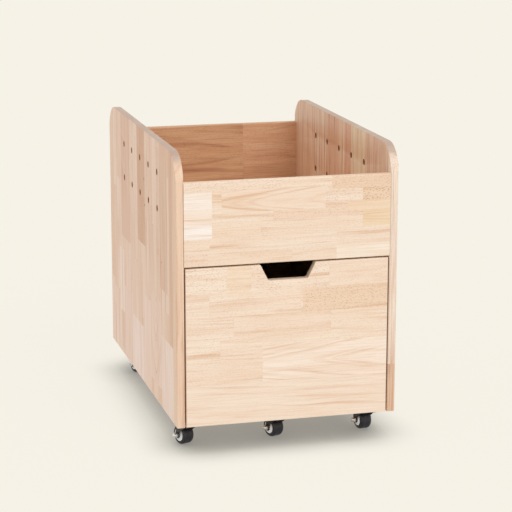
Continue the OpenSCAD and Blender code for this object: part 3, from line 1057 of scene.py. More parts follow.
class ScatterTree:
    """A Geometry Nodes tree that sets one fastener at each point of a mesh."""

    def __init__(self, name: str) -> None:
        """Builds the tree.

        Args:
            name: the tree's name.
        """
        self.tree = bpy.data.node_groups.new(name, "GeometryNodeTree")
        face = self.tree.interface
        face.new_socket("Places", in_out="INPUT", socket_type="NodeSocketGeometry")
        sockets = {
            "Piece": "NodeSocketObject",
            "Scale": "NodeSocketFloat",
            "Finish": "NodeSocketMaterial",
        }
        self.sockets = {
            label: face.new_socket(label, in_out="INPUT", socket_type=kind).identifier
            for label, kind in sockets.items()
        }
        face.new_socket("Pieces", in_out="OUTPUT", socket_type="NodeSocketGeometry")
        start = add(self.tree, "NodeGroupInput", output=None)
        part = add(
            self.tree,
            "GeometryNodeObjectInfo",
            {"transform_space": "ORIGINAL"},
            {"Object": start.outputs["Piece"]},
            output="Geometry",
        )
        vector = {"data_type": "FLOAT_VECTOR"}
        turn = add(self.tree, "GeometryNodeInputNamedAttribute", vector, {"Name": "turn"})
        places = {"Mesh": start.outputs["Places"]}
        points = add(self.tree, "GeometryNodeMeshToPoints", inputs=places)
        placed = add(
            self.tree,
            "GeometryNodeInstanceOnPoints",
            inputs={
                "Points": points,
                "Instance": part,
                "Rotation": turn,
                "Scale": start.outputs["Scale"],
            },
        )
        real = add(self.tree, "GeometryNodeRealizeInstances", inputs={0: placed})
        dressed = add(
            self.tree,
            "GeometryNodeSetMaterial",
            inputs={"Geometry": real, "Material": start.outputs["Finish"]},
        )
        add(self.tree, "NodeGroupOutput", inputs={0: dressed}, output=None)

    def scatter(
        self,
        name: str,
        pattern: bpy.types.Mesh,
        places: list[tuple[Vector, tuple[float, float, float]]],
        material: bpy.types.Material,
    ) -> bpy.types.Object:
        """Sets a copy of a mesh at each place and makes them one plain mesh.

        Args:
            name: the new piece's name.
            pattern: the mesh that is repeated, round its own origin.
            places: a point and its turn about X, Y and Z for each copy.
            material: the pieces' material.

        Returns:
            The new piece, at the origin.
        """
        points = bpy.data.meshes.new(name + "_places")
        points.from_pydata([p for p, _ in places], [], [])
        turns = points.attributes.new("turn", "FLOAT_VECTOR", "POINT")
        for datum, (_, turn) in zip(turns.data, places):
            datum.vector = turn
        carrier = link(name + "_carrier", points)
        stock = link(name + "_pattern", pattern)
        modifier = carrier.modifiers.new("Scatter", "NODES")
        modifier.node_group = self.tree
        modifier[self.sockets["Piece"]] = stock
        modifier[self.sockets["Scale"]] = 1.0
        modifier[self.sockets["Finish"]] = material
        plain = result_of(carrier)
        carrier.modifiers.remove(modifier)
        bpy.data.objects.remove(carrier)
        bpy.data.objects.remove(stock)
        work = bmesh.new()
        work.from_mesh(plain)
        return show(finish_mesh(work, name), name, material)


def middle_of(node: str, axis: Axis) -> float:
    """Gives the middle of a node's box along an axis, in metres."""
    low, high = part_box(node)
    return (low[axis.value] + high[axis.value]) / 2


@dataclass
class Case:
    """The fixed case: two side panels with holes, the front, back, bin floor and bottom board.

    Attributes:
        body: the body that it rides on.
        rim: width of the rounding round a side panel and its holes.
        rim_steps: facets across that rounding.
        hole_r: radius of the through holes.
        corner_r: radius of the side panels' upper corners.
        near: how close an edge lies to an outline that it belongs to.
        bored: where along and across the grain the side panels' holes are.
        side_stave: width of a side panel's stave.
        front_stave: width of the front panel's stave.
        back_stave: width of the back panel's stave.
    """

    body: str = "case"
    rim: float = 1.6 * MM
    rim_steps: int = 2
    hole_r: float = 6 * MM
    corner_r: float = 55 * MM
    near: float = 0.6 * MM
    bored: tuple[tuple[float, float], tuple[float, float]] = ((0.08, 0.54), (-0.3, 0.3))
    side_stave: float = 36 * MM
    front_stave: float = 29 * MM
    back_stave: float = 44 * MM

    def left_wood(self) -> JointedWood:
        """Gives the left panel's wood: upright staves, a darker one, two pin knots, and lighter
        blocks low down that are painted light from the floor's bounce.

        Returns:
            The finish.
        """
        return JointedWood(
            "left_panel_rubberwood",
            Axis.Z,
            Axis.Y,
            middle_of("left_side", Axis.X),
            ("#fbe4d3", "#efcfb7", "#f8dfcd", "#ebc6ab", "#f7dbc7"),
            blush="#ecc6ad",
            figure="#cf9c7c",
            pore="#8f5f40",
            end_grain_and_shade_tone="#b7a398",
            stave=self.side_stave,
            stack_start=-44 * MM,
            seed=3.0,
            figure_share=0.6,
            bored=self.bored,
            blocks=(
                KnownBlock((0.338, 0.6), (-0.044, 0.028), "#d6a888", 0.8, 0.2, draw=0.71),
                KnownBlock((0.31, 0.6), (0.105, 0.198), "#e5bda5", 0.75, 0.1, draw=0.23),
                KnownBlock((0.29, 0.6), (-0.247, -0.182), "#e3ba9c", 0.75, 0.1, draw=0.52),
                KnownBlock((0.148, 0.282), (0.177, 0.221), "#fdeadd", 0.8, 0.0, draw=0.11),
                # Lighter tone on this low block: painted light from the floor's bounce; its arches
                # are its own figure.
                KnownBlock(
                    (0.09, 0.26), (-0.188, -0.09), "#f8dfcf", 0.7, 0.1,
                    heart=-0.137, tilt=-0.5, draw=0.83,
                ),
                KnownBlock((0.0, 0.6), (-0.33, -0.291), "#f1d3b6", 0.8, 0.1, draw=0.44),
                KnownBlock((0.2, 0.6), (-0.291, -0.262), "#e2b698", 0.8, 0.1, draw=0.18),
                # Lighter, pinker tones on the low blocks: painted light from the floor's bounce on
                # the panel's lower part.
                KnownBlock((0.0, 0.2), (-0.291, -0.188), "#fbe6da", 0.85, 0.05, draw=0.36),
                KnownBlock((0.0, 0.24), (-0.09, -0.018), "#f8dfd0", 0.85, 0.05, draw=0.67),
                KnownBlock((0.0, 0.17), (-0.018, 0.09), "#fbe7dd", 0.85, 0.05, draw=0.93),
                KnownBlock((0.0, 0.21), (0.09, 0.177), "#f4d6c6", 0.8, 0.05, draw=0.06),
            ),
            knots=(
                PinKnot(0.4705, -0.0381),
                PinKnot(0.4197, -0.0421),
                PinKnot(0.3408, -0.195, 1.4 * MM),
            ),
        )

    def right_wood(self) -> JointedWood:
        """Gives the right panel's wood: redder lines inside, and a darker block low in front.

        Returns:
            The finish.
        """
        return JointedWood(
            "right_panel_rubberwood",
            Axis.Z,
            Axis.Y,
            middle_of("right_side", Axis.X),
            ("#f5dfbe", "#eec4a8", "#f7ddc2", "#e6b798", "#f4d9b8"),
            blush="#e3b08e",
            figure="#a05a3a",
            pore="#6e4028",
            end_grain_and_shade_tone="#b7a398",
            stave=self.side_stave,
            stack_start=-325 * MM,
            seed=11.0,
            figure_share=0.6,
            streak_share=0.45,
            ring_width=9 * MM,
            bored=self.bored,
            blocks=(
                KnownBlock((0.0, 0.149), (-0.33, -0.29), "#ebc9ab", 0.9, 0.1, draw=0.31),
                KnownBlock((0.149, 0.6), (-0.33, -0.29), "#f9e8d6", 0.9, 0.1, draw=0.64),
                KnownBlock((0.34, 0.6), (-0.29, -0.17), "#f8dec4", 0.75, 0.1, draw=0.79),
                KnownBlock((0.2, 0.6), (-0.17, -0.08), "#fdeecd", 0.85, 0.1, draw=0.55),
                KnownBlock((0.36, 0.6), (-0.08, -0.036), "#edc4a8", 0.8, 0.2, draw=0.27),
                KnownBlock((0.13, 0.6), (-0.036, 0.0), "#f9e0c4", 0.75, 0.1, draw=0.91),
                KnownBlock((0.27, 0.6), (0.0, 0.08), "#e8bda0", 0.8, 0.2, draw=0.08),
                KnownBlock((0.38, 0.6), (0.08, 0.17), "#f8e2c8", 0.75, 0.1, draw=0.66),
                KnownBlock((0.23, 0.6), (0.17, 0.33), "#f2d6bb", 0.75, 0.1, draw=0.17),
            ),
        )

    def front_wood(self) -> JointedWood:
        """Gives the front panel's wood: three pale blocks, an amber one, and a flecked corner.

        Returns:
            The finish.
        """
        return JointedWood(
            "front_rubberwood",
            Axis.X,
            Axis.Z,
            middle_of("front_panel", Axis.Y),
            ("#f9e8d6", "#f5dfc9", "#f8e7d5", "#f3dac4", "#f9e9d8"),
            blush="#f2d6bb",
            figure="#d7a273",
            pore="#9a653c",
            end_grain_and_shade_tone="#cdb7a2",
            stave=self.front_stave,
            stack_start=409 * MM,
            seed=5.0,
            figure_share=0.5,
            fleck_share=0.7,
            blush_share=0.55,
            crisp=0.22,
            seam_share=0.06,
            blocks=(
                KnownBlock((-0.2, -0.143), (0.464, 0.495), "#fef5ec", 0.9, 0.05, draw=0.13),
                KnownBlock((-0.2, -0.143), (0.440, 0.464), "#fbeddf", 0.7, 0.05, draw=0.91),
                KnownBlock((-0.2, -0.143), (0.409, 0.440), "#fff8f1", 0.95, 0.0, draw=0.29),
                KnownBlock((0.092, 0.2), (0.35, 0.385), "#fbeedd", 0.85, 0.05, draw=0.47),
                KnownBlock((0.142, 0.2), (0.418, 0.449), "#f2d8b2", 0.7, 0.1, draw=0.62),
                KnownBlock((0.112, 0.2), (0.449, 0.466), "#f2d6b2", 0.55, 0.1, draw=0.39),
                KnownBlock((0.141, 0.2), (0.466, 0.490), "#eccfb0", 0.65, 0.75, draw=0.77),
                KnownBlock((0.082, 0.2), (0.490, 0.52), "#ecccb0", 0.7, 0.45, draw=0.21),
                KnownBlock(
                    (-0.125, 0.07), (0.455, 0.496), "#f7e3ce", 0.4, 0.1,
                    heart=0.473, tilt=-0.12, draw=0.86,
                ),
            ),
        )

    def back_wood(self) -> JointedWood:
        """Gives the back panel's wood: brown arches on the left, redder lines on the right, on
        darker ground tones that are painted shade inside the bin.

        Returns:
            The finish.
        """
        return JointedWood(
            "back_rubberwood",
            Axis.X,
            Axis.Z,
            middle_of("back_panel", Axis.Y),
            # Darker, more saturated tones than the outer boards: painted shade inside the bin.
            ("#dfb893", "#d6ab85", "#e2be9b", "#d3a783"),
            blush="#c88f6b",
            figure="#8a4a30",
            pore="#5e3519",
            end_grain_and_shade_tone="#b39c8b",
            stave=self.back_stave,
            stack_start=425 * MM,
            seed=8.0,
            figure_share=0.7,
            streak_share=0.42,
            ring_width=11 * MM,
            crisp=0.05,
            blocks=(
                KnownBlock(
                    (-0.2, 0.076), (0.425, 0.52), "#ddb590", 0.8, 0.3,
                    heart=0.452, tilt=0.1, draw=0.33,
                ),
                KnownBlock(
                    (0.076, 0.2), (0.425, 0.52), "#e4bb98", 0.8, 0.3,
                    heart=0.455, tilt=-0.16, draw=0.68,
                ),
            ),
        )

    def shelf_wood(self, node: str, seed: float) -> JointedWood:
        """Gives a lying board's wood, whose darker tones are painted shade inside the case.

        Args:
            node: the board's node.
            seed: its own draw of blocks.

        Returns:
            The finish.
        """
        return JointedWood(
            node + "_rubberwood",
            Axis.X,
            Axis.Y,
            middle_of(node, Axis.Z),
            # Darker tones than the outer boards: painted shade inside the case.
            ("#dcb288", "#d3a67b", "#dfb891", "#cfa078"),
            blush="#cf9d72",
            figure="#96603a",
            pore="#5e3519",
            end_grain_and_shade_tone="#b39c8b",
            seed=seed,
        )

    def on_rim(self, middle: Vector, low: Vector, high: Vector) -> bool:
        """Says whether an edge is the side panel's outline or a through hole's rim.

        Args:
            middle: the edge's middle.
            low: the panel's lowest corner.
            high: the panel's highest corner.

        Returns:
            True where the edge is rounded.
        """
        y, z = abs(middle.y), middle.z
        if y > high.y - self.near or z > high.z - self.near or z < low.z + self.near:
            return True
        corner = math.hypot(y - (high.y - self.corner_r), z - (high.z - self.corner_r))
        in_corner = y > high.y - self.corner_r and z > high.z - self.corner_r
        if in_corner and abs(corner - self.corner_r) < self.near:
            return True
        return any(
            abs(math.hypot(middle.y - y0, z - z0) - self.hole_r) < self.near
            for y0, z0 in self.hole_centres()
        )

    @staticmethod
    def hole_centres() -> list[tuple[float, float]]:
        """Reads the through holes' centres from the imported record's mounts.

        Returns:
            Each hole's Y and Z.
        """
        out = []
        for mount in frame["record"]["mounts"]:
            if mount["kind"] != "bolt_pattern" or not mount["name"].startswith("left"):
                continue
            half_y = mount["dims"].get("spacing_x_mm", 0.0) / 2 * MM
            half_z = mount["dims"].get("spacing_y_mm", 0.0) / 2 * MM
            for y in sorted({-half_y, half_y}):
                for z in (-half_z, half_z):
                    out.append((mount["pos_m"][1] + y, mount["pos_m"][2] + z))
        return out

    def build(self) -> None:
        """Builds and dresses the boards."""
        for node, wood in (("left_side", self.left_wood()), ("right_side", self.right_wood())):
            low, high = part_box(node)
            mesh = soften(node, self.rim, self.rim_steps, lambda m: self.on_rim(m, low, high))
            piece = show(mesh, node + "_panel", wood.material())
            set_for(piece, node, self.body)
        for node, slot, wood in (
            ("front_panel", "front_wood", self.front_wood()),
            ("back_panel", "inside_wood", self.back_wood()),
            ("bin_floor", "inside_wood", self.shelf_wood("bin_floor", 2.0)),
            ("bottom_board", "inside_wood", self.shelf_wood("bottom_board", 6.0)),
        ):
            mesh = finish_mesh(merged_copy(node), node)
            piece = show(mesh, node + "_board", wood.material())
            set_for(piece, node, self.body)


@dataclass
class Drawer:
    """The drawer: a front with a finger pull on a dowelled box with a plywood bottom.

    Attributes:
        body: the body that it rides on.
        rim: width of the rounding on rims that hands touch.
        pull_half_w: half width of the stretch that holds the finger pull.
        pull_reach: height of that stretch.
        near: how close an edge lies to an outline that it belongs to.
        front_stave: width of the front's stave.
    """

    body: str = "drawer"
    rim: float = 1.2 * MM
    pull_half_w: float = 54 * MM
    pull_reach: float = 33 * MM
    near: float = 0.6 * MM
    front_stave: float = 45 * MM

    def front_wood(self) -> JointedWood:
        """Gives the drawer front's wood: a redder flecked block and a pale one with arches.

        Returns:
            The finish.
        """
        return JointedWood(
            "drawer_rubberwood",
            Axis.X,
            Axis.Z,
            middle_of("drawer_front", Axis.Y),
            ("#f9e8d6", "#f6e2cd", "#f8e7d4", "#f5dfca", "#f9e9d8"),
            blush="#f1d6bd",
            figure="#d59f72",
            pore="#9a653c",
            end_grain_and_shade_tone="#cdb7a2",
            stave=self.front_stave,
            stack_start=262 * MM,
            block=260 * MM,
            seed=21.0,
            figure_share=0.5,
            fleck_share=0.7,
            blush_share=0.55,
            ring_width=6 * MM,
            crisp=0.2,
            seam_share=0.06,
            blocks=(
                KnownBlock((0.028, 0.2), (0.262, 0.307), "#eed0b2", 0.7, 0.5, draw=0.58),
                KnownBlock((-0.116, -0.07), (0.302, 0.36), "#f3dab8", 0.35, 0.2, draw=0.42),
                KnownBlock(
                    (-0.048, 0.2), (0.134, 0.204), "#fbecdd", 0.75, 0.1,
                    heart=0.168, tilt=-0.13, draw=0.15,
                ),
                KnownBlock(
                    (-0.2, 0.2), (0.0, 0.134), "#f5e1cd", 0.5, 0.1, heart=0.02, tilt=0.04, draw=0.95
                ),
            ),
        )

    def box_wood(self, node: str, grain: Axis, seed: float) -> JointedWood:
        """Gives a box board's wood.

        Args:
            node: the board's node.
            grain: the way its grain runs.
            seed: its own draw of blocks.

        Returns:
            The finish.
        """
        across = ({Axis.X, Axis.Y} - {grain}).pop()
        return JointedWood(
            node + "_rubberwood",
            grain,
            Axis.Z,
            middle_of(node, across),
            ("#f0d8b8", "#e8cba6", "#f1dabb", "#e3c49c"),
            blush="#e6c093",
            figure="#bb8555",
            pore="#7d5230",
            end_grain_and_shade_tone="#cdb7a2",
            seed=seed,
        )

    def plywood(self) -> JointedWood:
        """Gives the bottom's birch plywood, whose face is one wide peeled veneer.

        Returns:
            The finish.
        """
        return JointedWood(
            "birch_plywood",
            Axis.Y,
            Axis.X,
            middle_of("drawer_bottom", Axis.Z),
            ("#efdcb8", "#ead4ab", "#f1dfbe"),
            blush="#e6cb9c",
            figure="#cfa672",
            pore="#a37c4c",
            end_grain_and_shade_tone="#b98f62",
            stave=900 * MM,
            block=2400 * MM,
            seed=0.5,
            figure_share=0.35,
        )

    def on_pull(self, middle: Vector, low: Vector, high: Vector) -> bool:
        """Says whether an edge is a rim of the finger pull.

        Args:
            middle: the edge's middle.
            low: the drawer front's lowest corner.
            high: its highest corner.

        Returns:
            True where the edge is rounded.
        """
        on_face = min(abs(middle.y - low.y), abs(middle.y - high.y)) < self.near
        return on_face and abs(middle.x) < self.pull_half_w and middle.z > high.z - self.pull_reach

    def build(self) -> None:
        """Builds and dresses the drawer's boards."""
        low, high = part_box("drawer_front")
        mesh = soften("drawer_front", self.rim, chosen=lambda m: self.on_pull(m, low, high))
        front = show(mesh, "drawer_front_board", self.front_wood().material())
        set_for(front, "drawer_front", self.body)
        for node, grain, seed in (
            ("drawer_left_side", Axis.Y, 31.0),
            ("drawer_right_side", Axis.Y, 34.0),
            ("drawer_back", Axis.X, 37.0),
        ):
            _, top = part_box(node)
            mesh = soften(node, self.rim, chosen=lambda m: m.z > top.z - self.near)
            board = show(mesh, node + "_board", self.box_wood(node, grain, seed).material())
            set_for(board, node, self.body)
        mesh = finish_mesh(merged_copy("drawer_bottom"), "drawer_bottom")
        sheet = show(mesh, "drawer_bottom_sheet", self.plywood().material())
        set_for(sheet, "drawer_bottom", self.body)


@dataclass
class Castor:
    """A swivel castor: plate, pressed fork, axle with cap nut, nylon core and rubber tyre.

    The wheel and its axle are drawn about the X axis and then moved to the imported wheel's place.

    Attributes:
        where: which of the six castors it is.
        steel: finish of plate and fork.
        bright: finish of the axle.
        rubber: finish of the tyre.
        nylon: finish of the core.
        wheel_r: radius of the wheel.
        tyre_w: width of the tyre.
        shoulder_r: radius of the tyre's shoulders.
        core_r: radius at which the tyre meets the core.
        bore_r: radius of the core's bore.
        hub_r: radius of the hub.
        hub_reach: how far the hub stands out from the wheel's middle.
        rim_face: how far the core's rim stands out from there.
        dish_r: radius of the web between rim and hub.
        dish_depth: how far the web lies behind the rim.
        leg_outer: distance of a fork leg's outer face from the wheel's middle.
        nut_r: radius over the nut's corners.
        nut_t: thickness of the nut's hexagon.
        dome_r: radius of the cap's foot.
        dome_h: height of the cap.
        nut_face: share of the distance to a flat that the nut's turned faces take.
        head_t: thickness of the bolt's head.
        bolt_r: radius of the bolt.
        lap: how far joined shapes run into each other.
        gap: play between touching pieces.
        edge: width of small bevels.
        plate_edge: width of the rounding on the plate.
        edge_steps: facets across that rounding.
        tyre_lip: width of the tyre's lip at the core.
        mould_seam: depth of the groove round the tread.
        sheet_voxel: size of the cells in which the fork is rounded.
        sheet_kept: share of its faces that the fork keeps.
        bend_share: how strongly each pass rounds the bends.
        bend_passes: number of those passes.
        shoulder_steps: facets across a tyre's shoulder.
        dome_turn: degrees between the cap's rings.
        facets: facets round the wheel.
        nut_facets: facets round the nut.
        dome_facets: facets round the cap.
        bolt_facets: facets round the bolt.
        wheel_frame: the wheel's place and direction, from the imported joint.
    """

    where: Place
    steel: bpy.types.Material
    bright: bpy.types.Material
    rubber: bpy.types.Material
    nylon: bpy.types.Material
    wheel_r: float = 19 * MM
    tyre_w: float = 24 * MM
    shoulder_r: float = 5.6 * MM
    core_r: float = 12.3 * MM
    bore_r: float = 3.05 * MM
    hub_r: float = 5.5 * MM
    hub_reach: float = 13 * MM
    rim_face: float = 11.5 * MM
    dish_r: float = 10.6 * MM
    dish_depth: float = 1.4 * MM
    leg_outer: float = 14.8 * MM
    nut_r: float = 5.7 * MM
    nut_t: float = 5.0 * MM
    dome_r: float = 4.7 * MM
    dome_h: float = 5.0 * MM
    nut_face: float = 0.985
    head_t: float = 3.0 * MM
    bolt_r: float = 3.0 * MM
    lap: float = 0.4 * MM
    gap: float = 0.05 * MM
    edge: float = 0.35 * MM
    plate_edge: float = 0.5 * MM
    edge_steps: int = 2
    tyre_lip: float = 0.5 * MM
    mould_seam: float = 0.18 * MM
    sheet_voxel: float = 0.42 * MM
    sheet_kept: float = 0.16
    bend_share: float = 0.5
    bend_passes: int = 5
    shoulder_steps: int = 8
    dome_turn: int = 10
    facets: int = 96
    nut_facets: int = 36
    dome_facets: int = 48
    bolt_facets: int = 32
    wheel_frame: Matrix = field(default_factory=Matrix)

    def __post_init__(self) -> None:
        """Reads the wheel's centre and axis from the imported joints."""
        joints = {j["name"]: j for j in frame["record"]["behaviour"]["joints"]}
        roll = joints[self.where.value + "_roll"]
        across = Vector(roll["axis"]).normalized()
        up = Vector((0, 0, 1))
        ahead = up.cross(across)
        turn = Matrix((across, ahead, up)).transposed().to_4x4()
        self.wheel_frame = Matrix.Translation(Vector(roll["pos_m"])) @ turn

    def build(self) -> None:
        """Builds and dresses the castor's pieces."""
        swivel, wheel = self.node("swivel"), self.node("wheel")
        plate = soften(self.node("plate"), self.plate_edge, self.edge_steps)
        axle, core, tyre = (self.turned(w) for w in (self.axle(), self.core(), self.tyre()))
        for part, mesh, material, body, slot in (
            ("plate", plate, self.steel, "case", "black_steel"),
            ("fork", self.pressed_fork(), self.steel, swivel, "black_steel"),
            ("axle", axle, self.bright, swivel, "bright_steel"),
            ("core", core, self.nylon, wheel, "white_nylon"),
            ("tyre", tyre, self.rubber, wheel, "black_rubber"),
        ):
            piece = show(mesh, self.node(part) + "_piece", material)
            set_for(piece, self.node(part), body)

    def node(self, part: str) -> str:
        """Gives the name of one of the castor's parts or bodies."""
        return f"{self.where.value}_{part}"

    def turned(self, work: bmesh.types.BMesh) -> bpy.types.Mesh:
        """Moves faces made about the X axis to the wheel's place.

        Args:
            work: the faces, which are freed.

        Returns:
            The mesh in the row frame.
        """
        work.transform(self.wheel_frame)
        return finish_mesh(work, self.where.value)

    def tyre(self) -> bmesh.types.BMesh:
        """Draws the tyre: round shoulders, a flat tread with its mould seam, a lip at the core.

        Returns:
            The faces, about the X axis.
        """
        half, lip, seam = self.tyre_w / 2, self.tyre_lip, self.mould_seam
        ease = lip / 5
        right = [(half - 2 * lip, self.core_r), (half - lip, self.core_r + ease)]
        right.append((half - ease, self.core_r + lip))
        centre = (half - self.shoulder_r, self.wheel_r - self.shoulder_r)
        right += arc(centre, self.shoulder_r, start=0, end=90, steps=self.shoulder_steps)
        tread = [(2 * seam, self.wheel_r), (0.0, self.wheel_r - seam)]
        left = [(-x, r) for x, r in reversed(right + tread[:1])]
        return revolve(right + tread + left, self.facets)

    def core(self) -> bmesh.types.BMesh:
        """Draws the core: a rim lip, a dished web and a hub that stands out to the fork.

        Returns:
            The faces, about the X axis.
        """
        edge, face, web = self.edge, self.rim_face, self.rim_face - self.dish_depth
        outer = self.core_r - self.gap
        right = [
            (self.hub_reach, self.bore_r),
            (self.hub_reach, self.hub_r - edge),
            (self.hub_reach - edge, self.hub_r),
            (web + edge, self.hub_r),
            (web, self.hub_r + edge),
            (web, self.dish_r - edge),
            (web + edge, self.dish_r),
            (face - edge, self.dish_r),
            (face, self.dish_r + edge),
            (face, outer - edge),
            (face - edge, outer),
        ]
        left = [(-x, r) for x, r in reversed(right)]
        return revolve(right + left, self.facets)

    def axle(self) -> bmesh.types.BMesh:
        """Draws the axle bolt with its hexagon head and domed cap nut.

        Returns:
            The faces, about the X axis.
        """
        nut_x = -self.leg_outer - self.gap
        head_x = self.leg_outer + self.gap
        top = nut_x - self.nut_t
        work = self.hexagon(top, nut_x)
        self.join(work, self.hexagon(head_x, head_x + self.head_t))
        dome = [(top + self.lap, 0.0), (top + self.lap, self.dome_r)]
        for turn in range(0, 90, self.dome_turn):
            a = math.radians(turn)
            dome.append((top - self.dome_h * math.sin(a), self.dome_r * math.cos(a)))
        dome.append((top - self.dome_h, 0.0))
        self.join(work, revolve(dome, self.dome_facets))
        start, end = nut_x - self.lap, self.leg_outer + self.lap
        shank = [(start, 0.0), (start, self.bolt_r), (end, self.bolt_r), (end, 0.0)]
        self.join(work, revolve(shank, self.bolt_facets))
        return work

    def hexagon(self, start: float, end: float) -> bmesh.types.BMesh:
        """Draws a hexagon prism with its corners turned off, as on a nut.

        Args:
            start: its first face along the axis.
            end: its last face along the axis.

        Returns:
            The faces.
        """
        side = math.radians(60)
        flat = self.nut_r * math.cos(side / 2)
        face = flat * self.nut_face
        work = bmesh.new()

        def reach(turn: float, cap: float) -> float:
            """Gives the hexagon's radius at a turn, cut off at a cap."""
            return min(flat / math.cos((turn + side / 2) % side - side / 2), cap)

        rows = [
            ring(work, x, self.nut_facets, lambda turn: reach(turn, cap))
            for x, cap in (
                (start, face),
                (start + self.edge, self.nut_r),
                (end - self.edge, self.nut_r),
                (end, face),
            )
        ]
        for one, two in zip(rows, rows[1:]):
            for i in range(self.nut_facets):
                j = (i + 1) % self.nut_facets
                work.faces.new([one[i], one[j], two[j], two[i]])
        work.faces.new(rows[0])
        work.faces.new(list(reversed(rows[-1])))
        bmesh.ops.recalc_face_normals(work, faces=work.faces)
        return work

    @staticmethod
    def join(work: bmesh.types.BMesh, other: bmesh.types.BMesh) -> None:
        """Adds other faces to the first ones.

        Args:
            work: the first faces.
            other: the other faces, which are freed.
        """
        mesh = plain_mesh(other, "joined")
        work.from_mesh(mesh)
        bpy.data.meshes.remove(mesh)

    def pressed_fork(self) -> bpy.types.Mesh:
        """Rounds the fork's inner and outer bends, as pressing and bending sheet steel does.

        Returns:
            The mesh in the row frame.
        """
        plain = plain_mesh(merged_copy(self.node("fork")), self.node("fork"))
        draft = link("fork_draft", plain)
        voxels = draft.modifiers.new("Voxels", "REMESH")
        voxels.mode = "VOXEL"
        voxels.voxel_size = self.sheet_voxel
        smooth = draft.modifiers.new("Smooth", "SMOOTH")
        smooth.factor = self.bend_share
        smooth.iterations = self.bend_passes
        fewer = draft.modifiers.new("Fewer", "DECIMATE")
        fewer.ratio = self.sheet_kept
        mesh = result_of(draft)
        bpy.data.objects.remove(draft)
        work = bmesh.new()
        work.from_mesh(mesh)
        return finish_mesh(work, self.node("fork"))


def dowel_wood() -> JointedWood:
    """Gives the dowels' beech, which is one plain rod of straight grain.

    Returns:
        The finish.
    """
    return JointedWood(
        "beech_dowel",
        Axis.X,
        Axis.Y,
        0.0,
        ("#e0c08c", "#d7b480", "#e4c796"),
        blush="#d5ad7a",
        figure="#b98e5b",
        pore="#8a6238",
        end_grain_and_shade_tone="#cbb08a",
        stave=400 * MM,
        block=900 * MM,
        seed=0.5,
    )


@dataclass
class Hardware:
    """Slides, screws, dowels, balls and rivets.

    Attributes:
        zinc: finish of rails, screws and rivets.
        bright: finish of balls and their cages.
        beech: finish of the dowels.
        head_r: radius of a castor screw's head.
        head_t: height of the head.
        shank_r: radius of its shank.
        shank: length of the shank.
        hole_gap: distance between a plate's holes.
        recess: half width of the cross recess.
        recess_w: width of one of its slots.
        recess_t: its depth.
        crown: share of the head's height that its crown takes.
        crown_w: share of the head's width that its crown takes.
        crown_turn: degrees between the crown's rings.
        rim_w: share of the width at the crown's foot.
        rim_t: share of the height at which the head is widest.
        facets: facets round a screw.
        turn_mix: how the place of a screw sets its turn.
        turn_most: limit of that turn, in radians.
    """

    zinc: bpy.types.Material
    bright: bpy.types.Material
    beech: bpy.types.Material
    head_r: float = 3.4 * MM
    head_t: float = 1.8 * MM
    shank_r: float = 1.75 * MM
    shank: float = 10 * MM
    hole_gap: float = 31 * MM
    recess: float = 1.9 * MM
    recess_w: float = 0.7 * MM
    recess_t: float = 0.9 * MM
    crown: float = 0.45
    crown_w: float = 0.72
    crown_turn: int = 15
    rim_w: float = 0.9
    rim_t: float = 0.35
    facets: int = 28
    turn_mix: tuple[int, int, int] = (31, 7, 3)
    turn_most: float = 1.5

    def build(self) -> None:
        """Dresses the kept nodes and sets the castors' screws."""
        for node in frame["nodes"]:
            if node.endswith("_dowels"):
                self.dress(node, self.beech)
            elif node.endswith(("_rail", "_screws", "_kingpins")):
                self.dress(node, self.zinc)
            elif node.endswith(("_ball_cage", "_balls")):
                self.dress(node, self.bright)
        self.castor_screws()

    @staticmethod
    def dress(node: str, material: bpy.types.Material) -> None:
        """Gives a kept node its material.

        Args:
            node: the node's name.
            material: its material.
        """
        piece = frame["nodes"][node]
        piece.data.materials.clear()
        piece.data.materials.append(material)

    def castor_screws(self) -> None:
        """Sets a pan-head screw with a cross recess in each hole of the castors' plates."""
        low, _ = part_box("castor_screws")
        base = low.z + self.head_t
        by_x, by_i, by_j = self.turn_mix
        places = []
        for joint in frame["record"]["behaviour"]["joints"]:
            if not joint["name"].endswith("_turn"):
                continue
            x, y, _ = joint["pos_m"]
            for i in (-0.5, 0.5):
                for j in (-0.5, 0.5):
                    turn = (x * by_x + i * by_i + j * by_j) % self.turn_most
                    spot = Vector((x + i * self.hole_gap, y + j * self.hole_gap, base))
                    places.append((spot, (0.0, 0.0, turn)))
        tree = ScatterTree("SetFasteners")
        piece = tree.scatter("castor_screw_set", self.screw(), places, self.zinc)
        set_for(piece, "castor_screws", "case")

    def screw(self) -> bpy.types.Mesh:
        """Draws one screw, head down, with its head's seat at the origin.

        Returns:
            The mesh.
        """
        profile = []
        for turn in range(0, 91, self.crown_turn):
            a = math.radians(turn)
            rise = 1 - self.crown * (1 - math.cos(a))
            profile.append((-self.head_t * rise, self.head_r * self.crown_w * math.sin(a)))
        profile += [
            (-self.head_t * (1 - self.crown), self.head_r * self.rim_w),
            (-self.head_t * self.rim_t, self.head_r),
            (0.0, self.head_r),
            (0.0, self.shank_r),
            (self.shank, self.shank_r),
            (self.shank, 0.0),
        ]
        work = revolve(profile, self.facets)
        work.transform(Matrix.Rotation(math.radians(-90), 4, "Y"))
        cross = bmesh.new()
        top = Matrix.Translation((0, 0, -self.head_t))
        for w, d in ((self.recess, self.recess_w / 2), (self.recess_w / 2, self.recess)):
            size = Matrix.Diagonal((2 * w, 2 * d, 2 * self.recess_t, 1))
            bmesh.ops.create_cube(cross, size=1.0, matrix=top @ size)
        stock = link("screw_stock", plain_mesh(work, "screw"))
        tool = link("screw_recess", plain_mesh(cross, "recess"))
        cutter = stock.modifiers.new("Recess", "BOOLEAN")
        cutter.operation = "DIFFERENCE"
        cutter.solver = "EXACT"
        cutter.use_self = True
        cutter.object = tool
        mesh = result_of(stock)
        bpy.data.objects.remove(stock)
        bpy.data.objects.remove(tool)
        return mesh


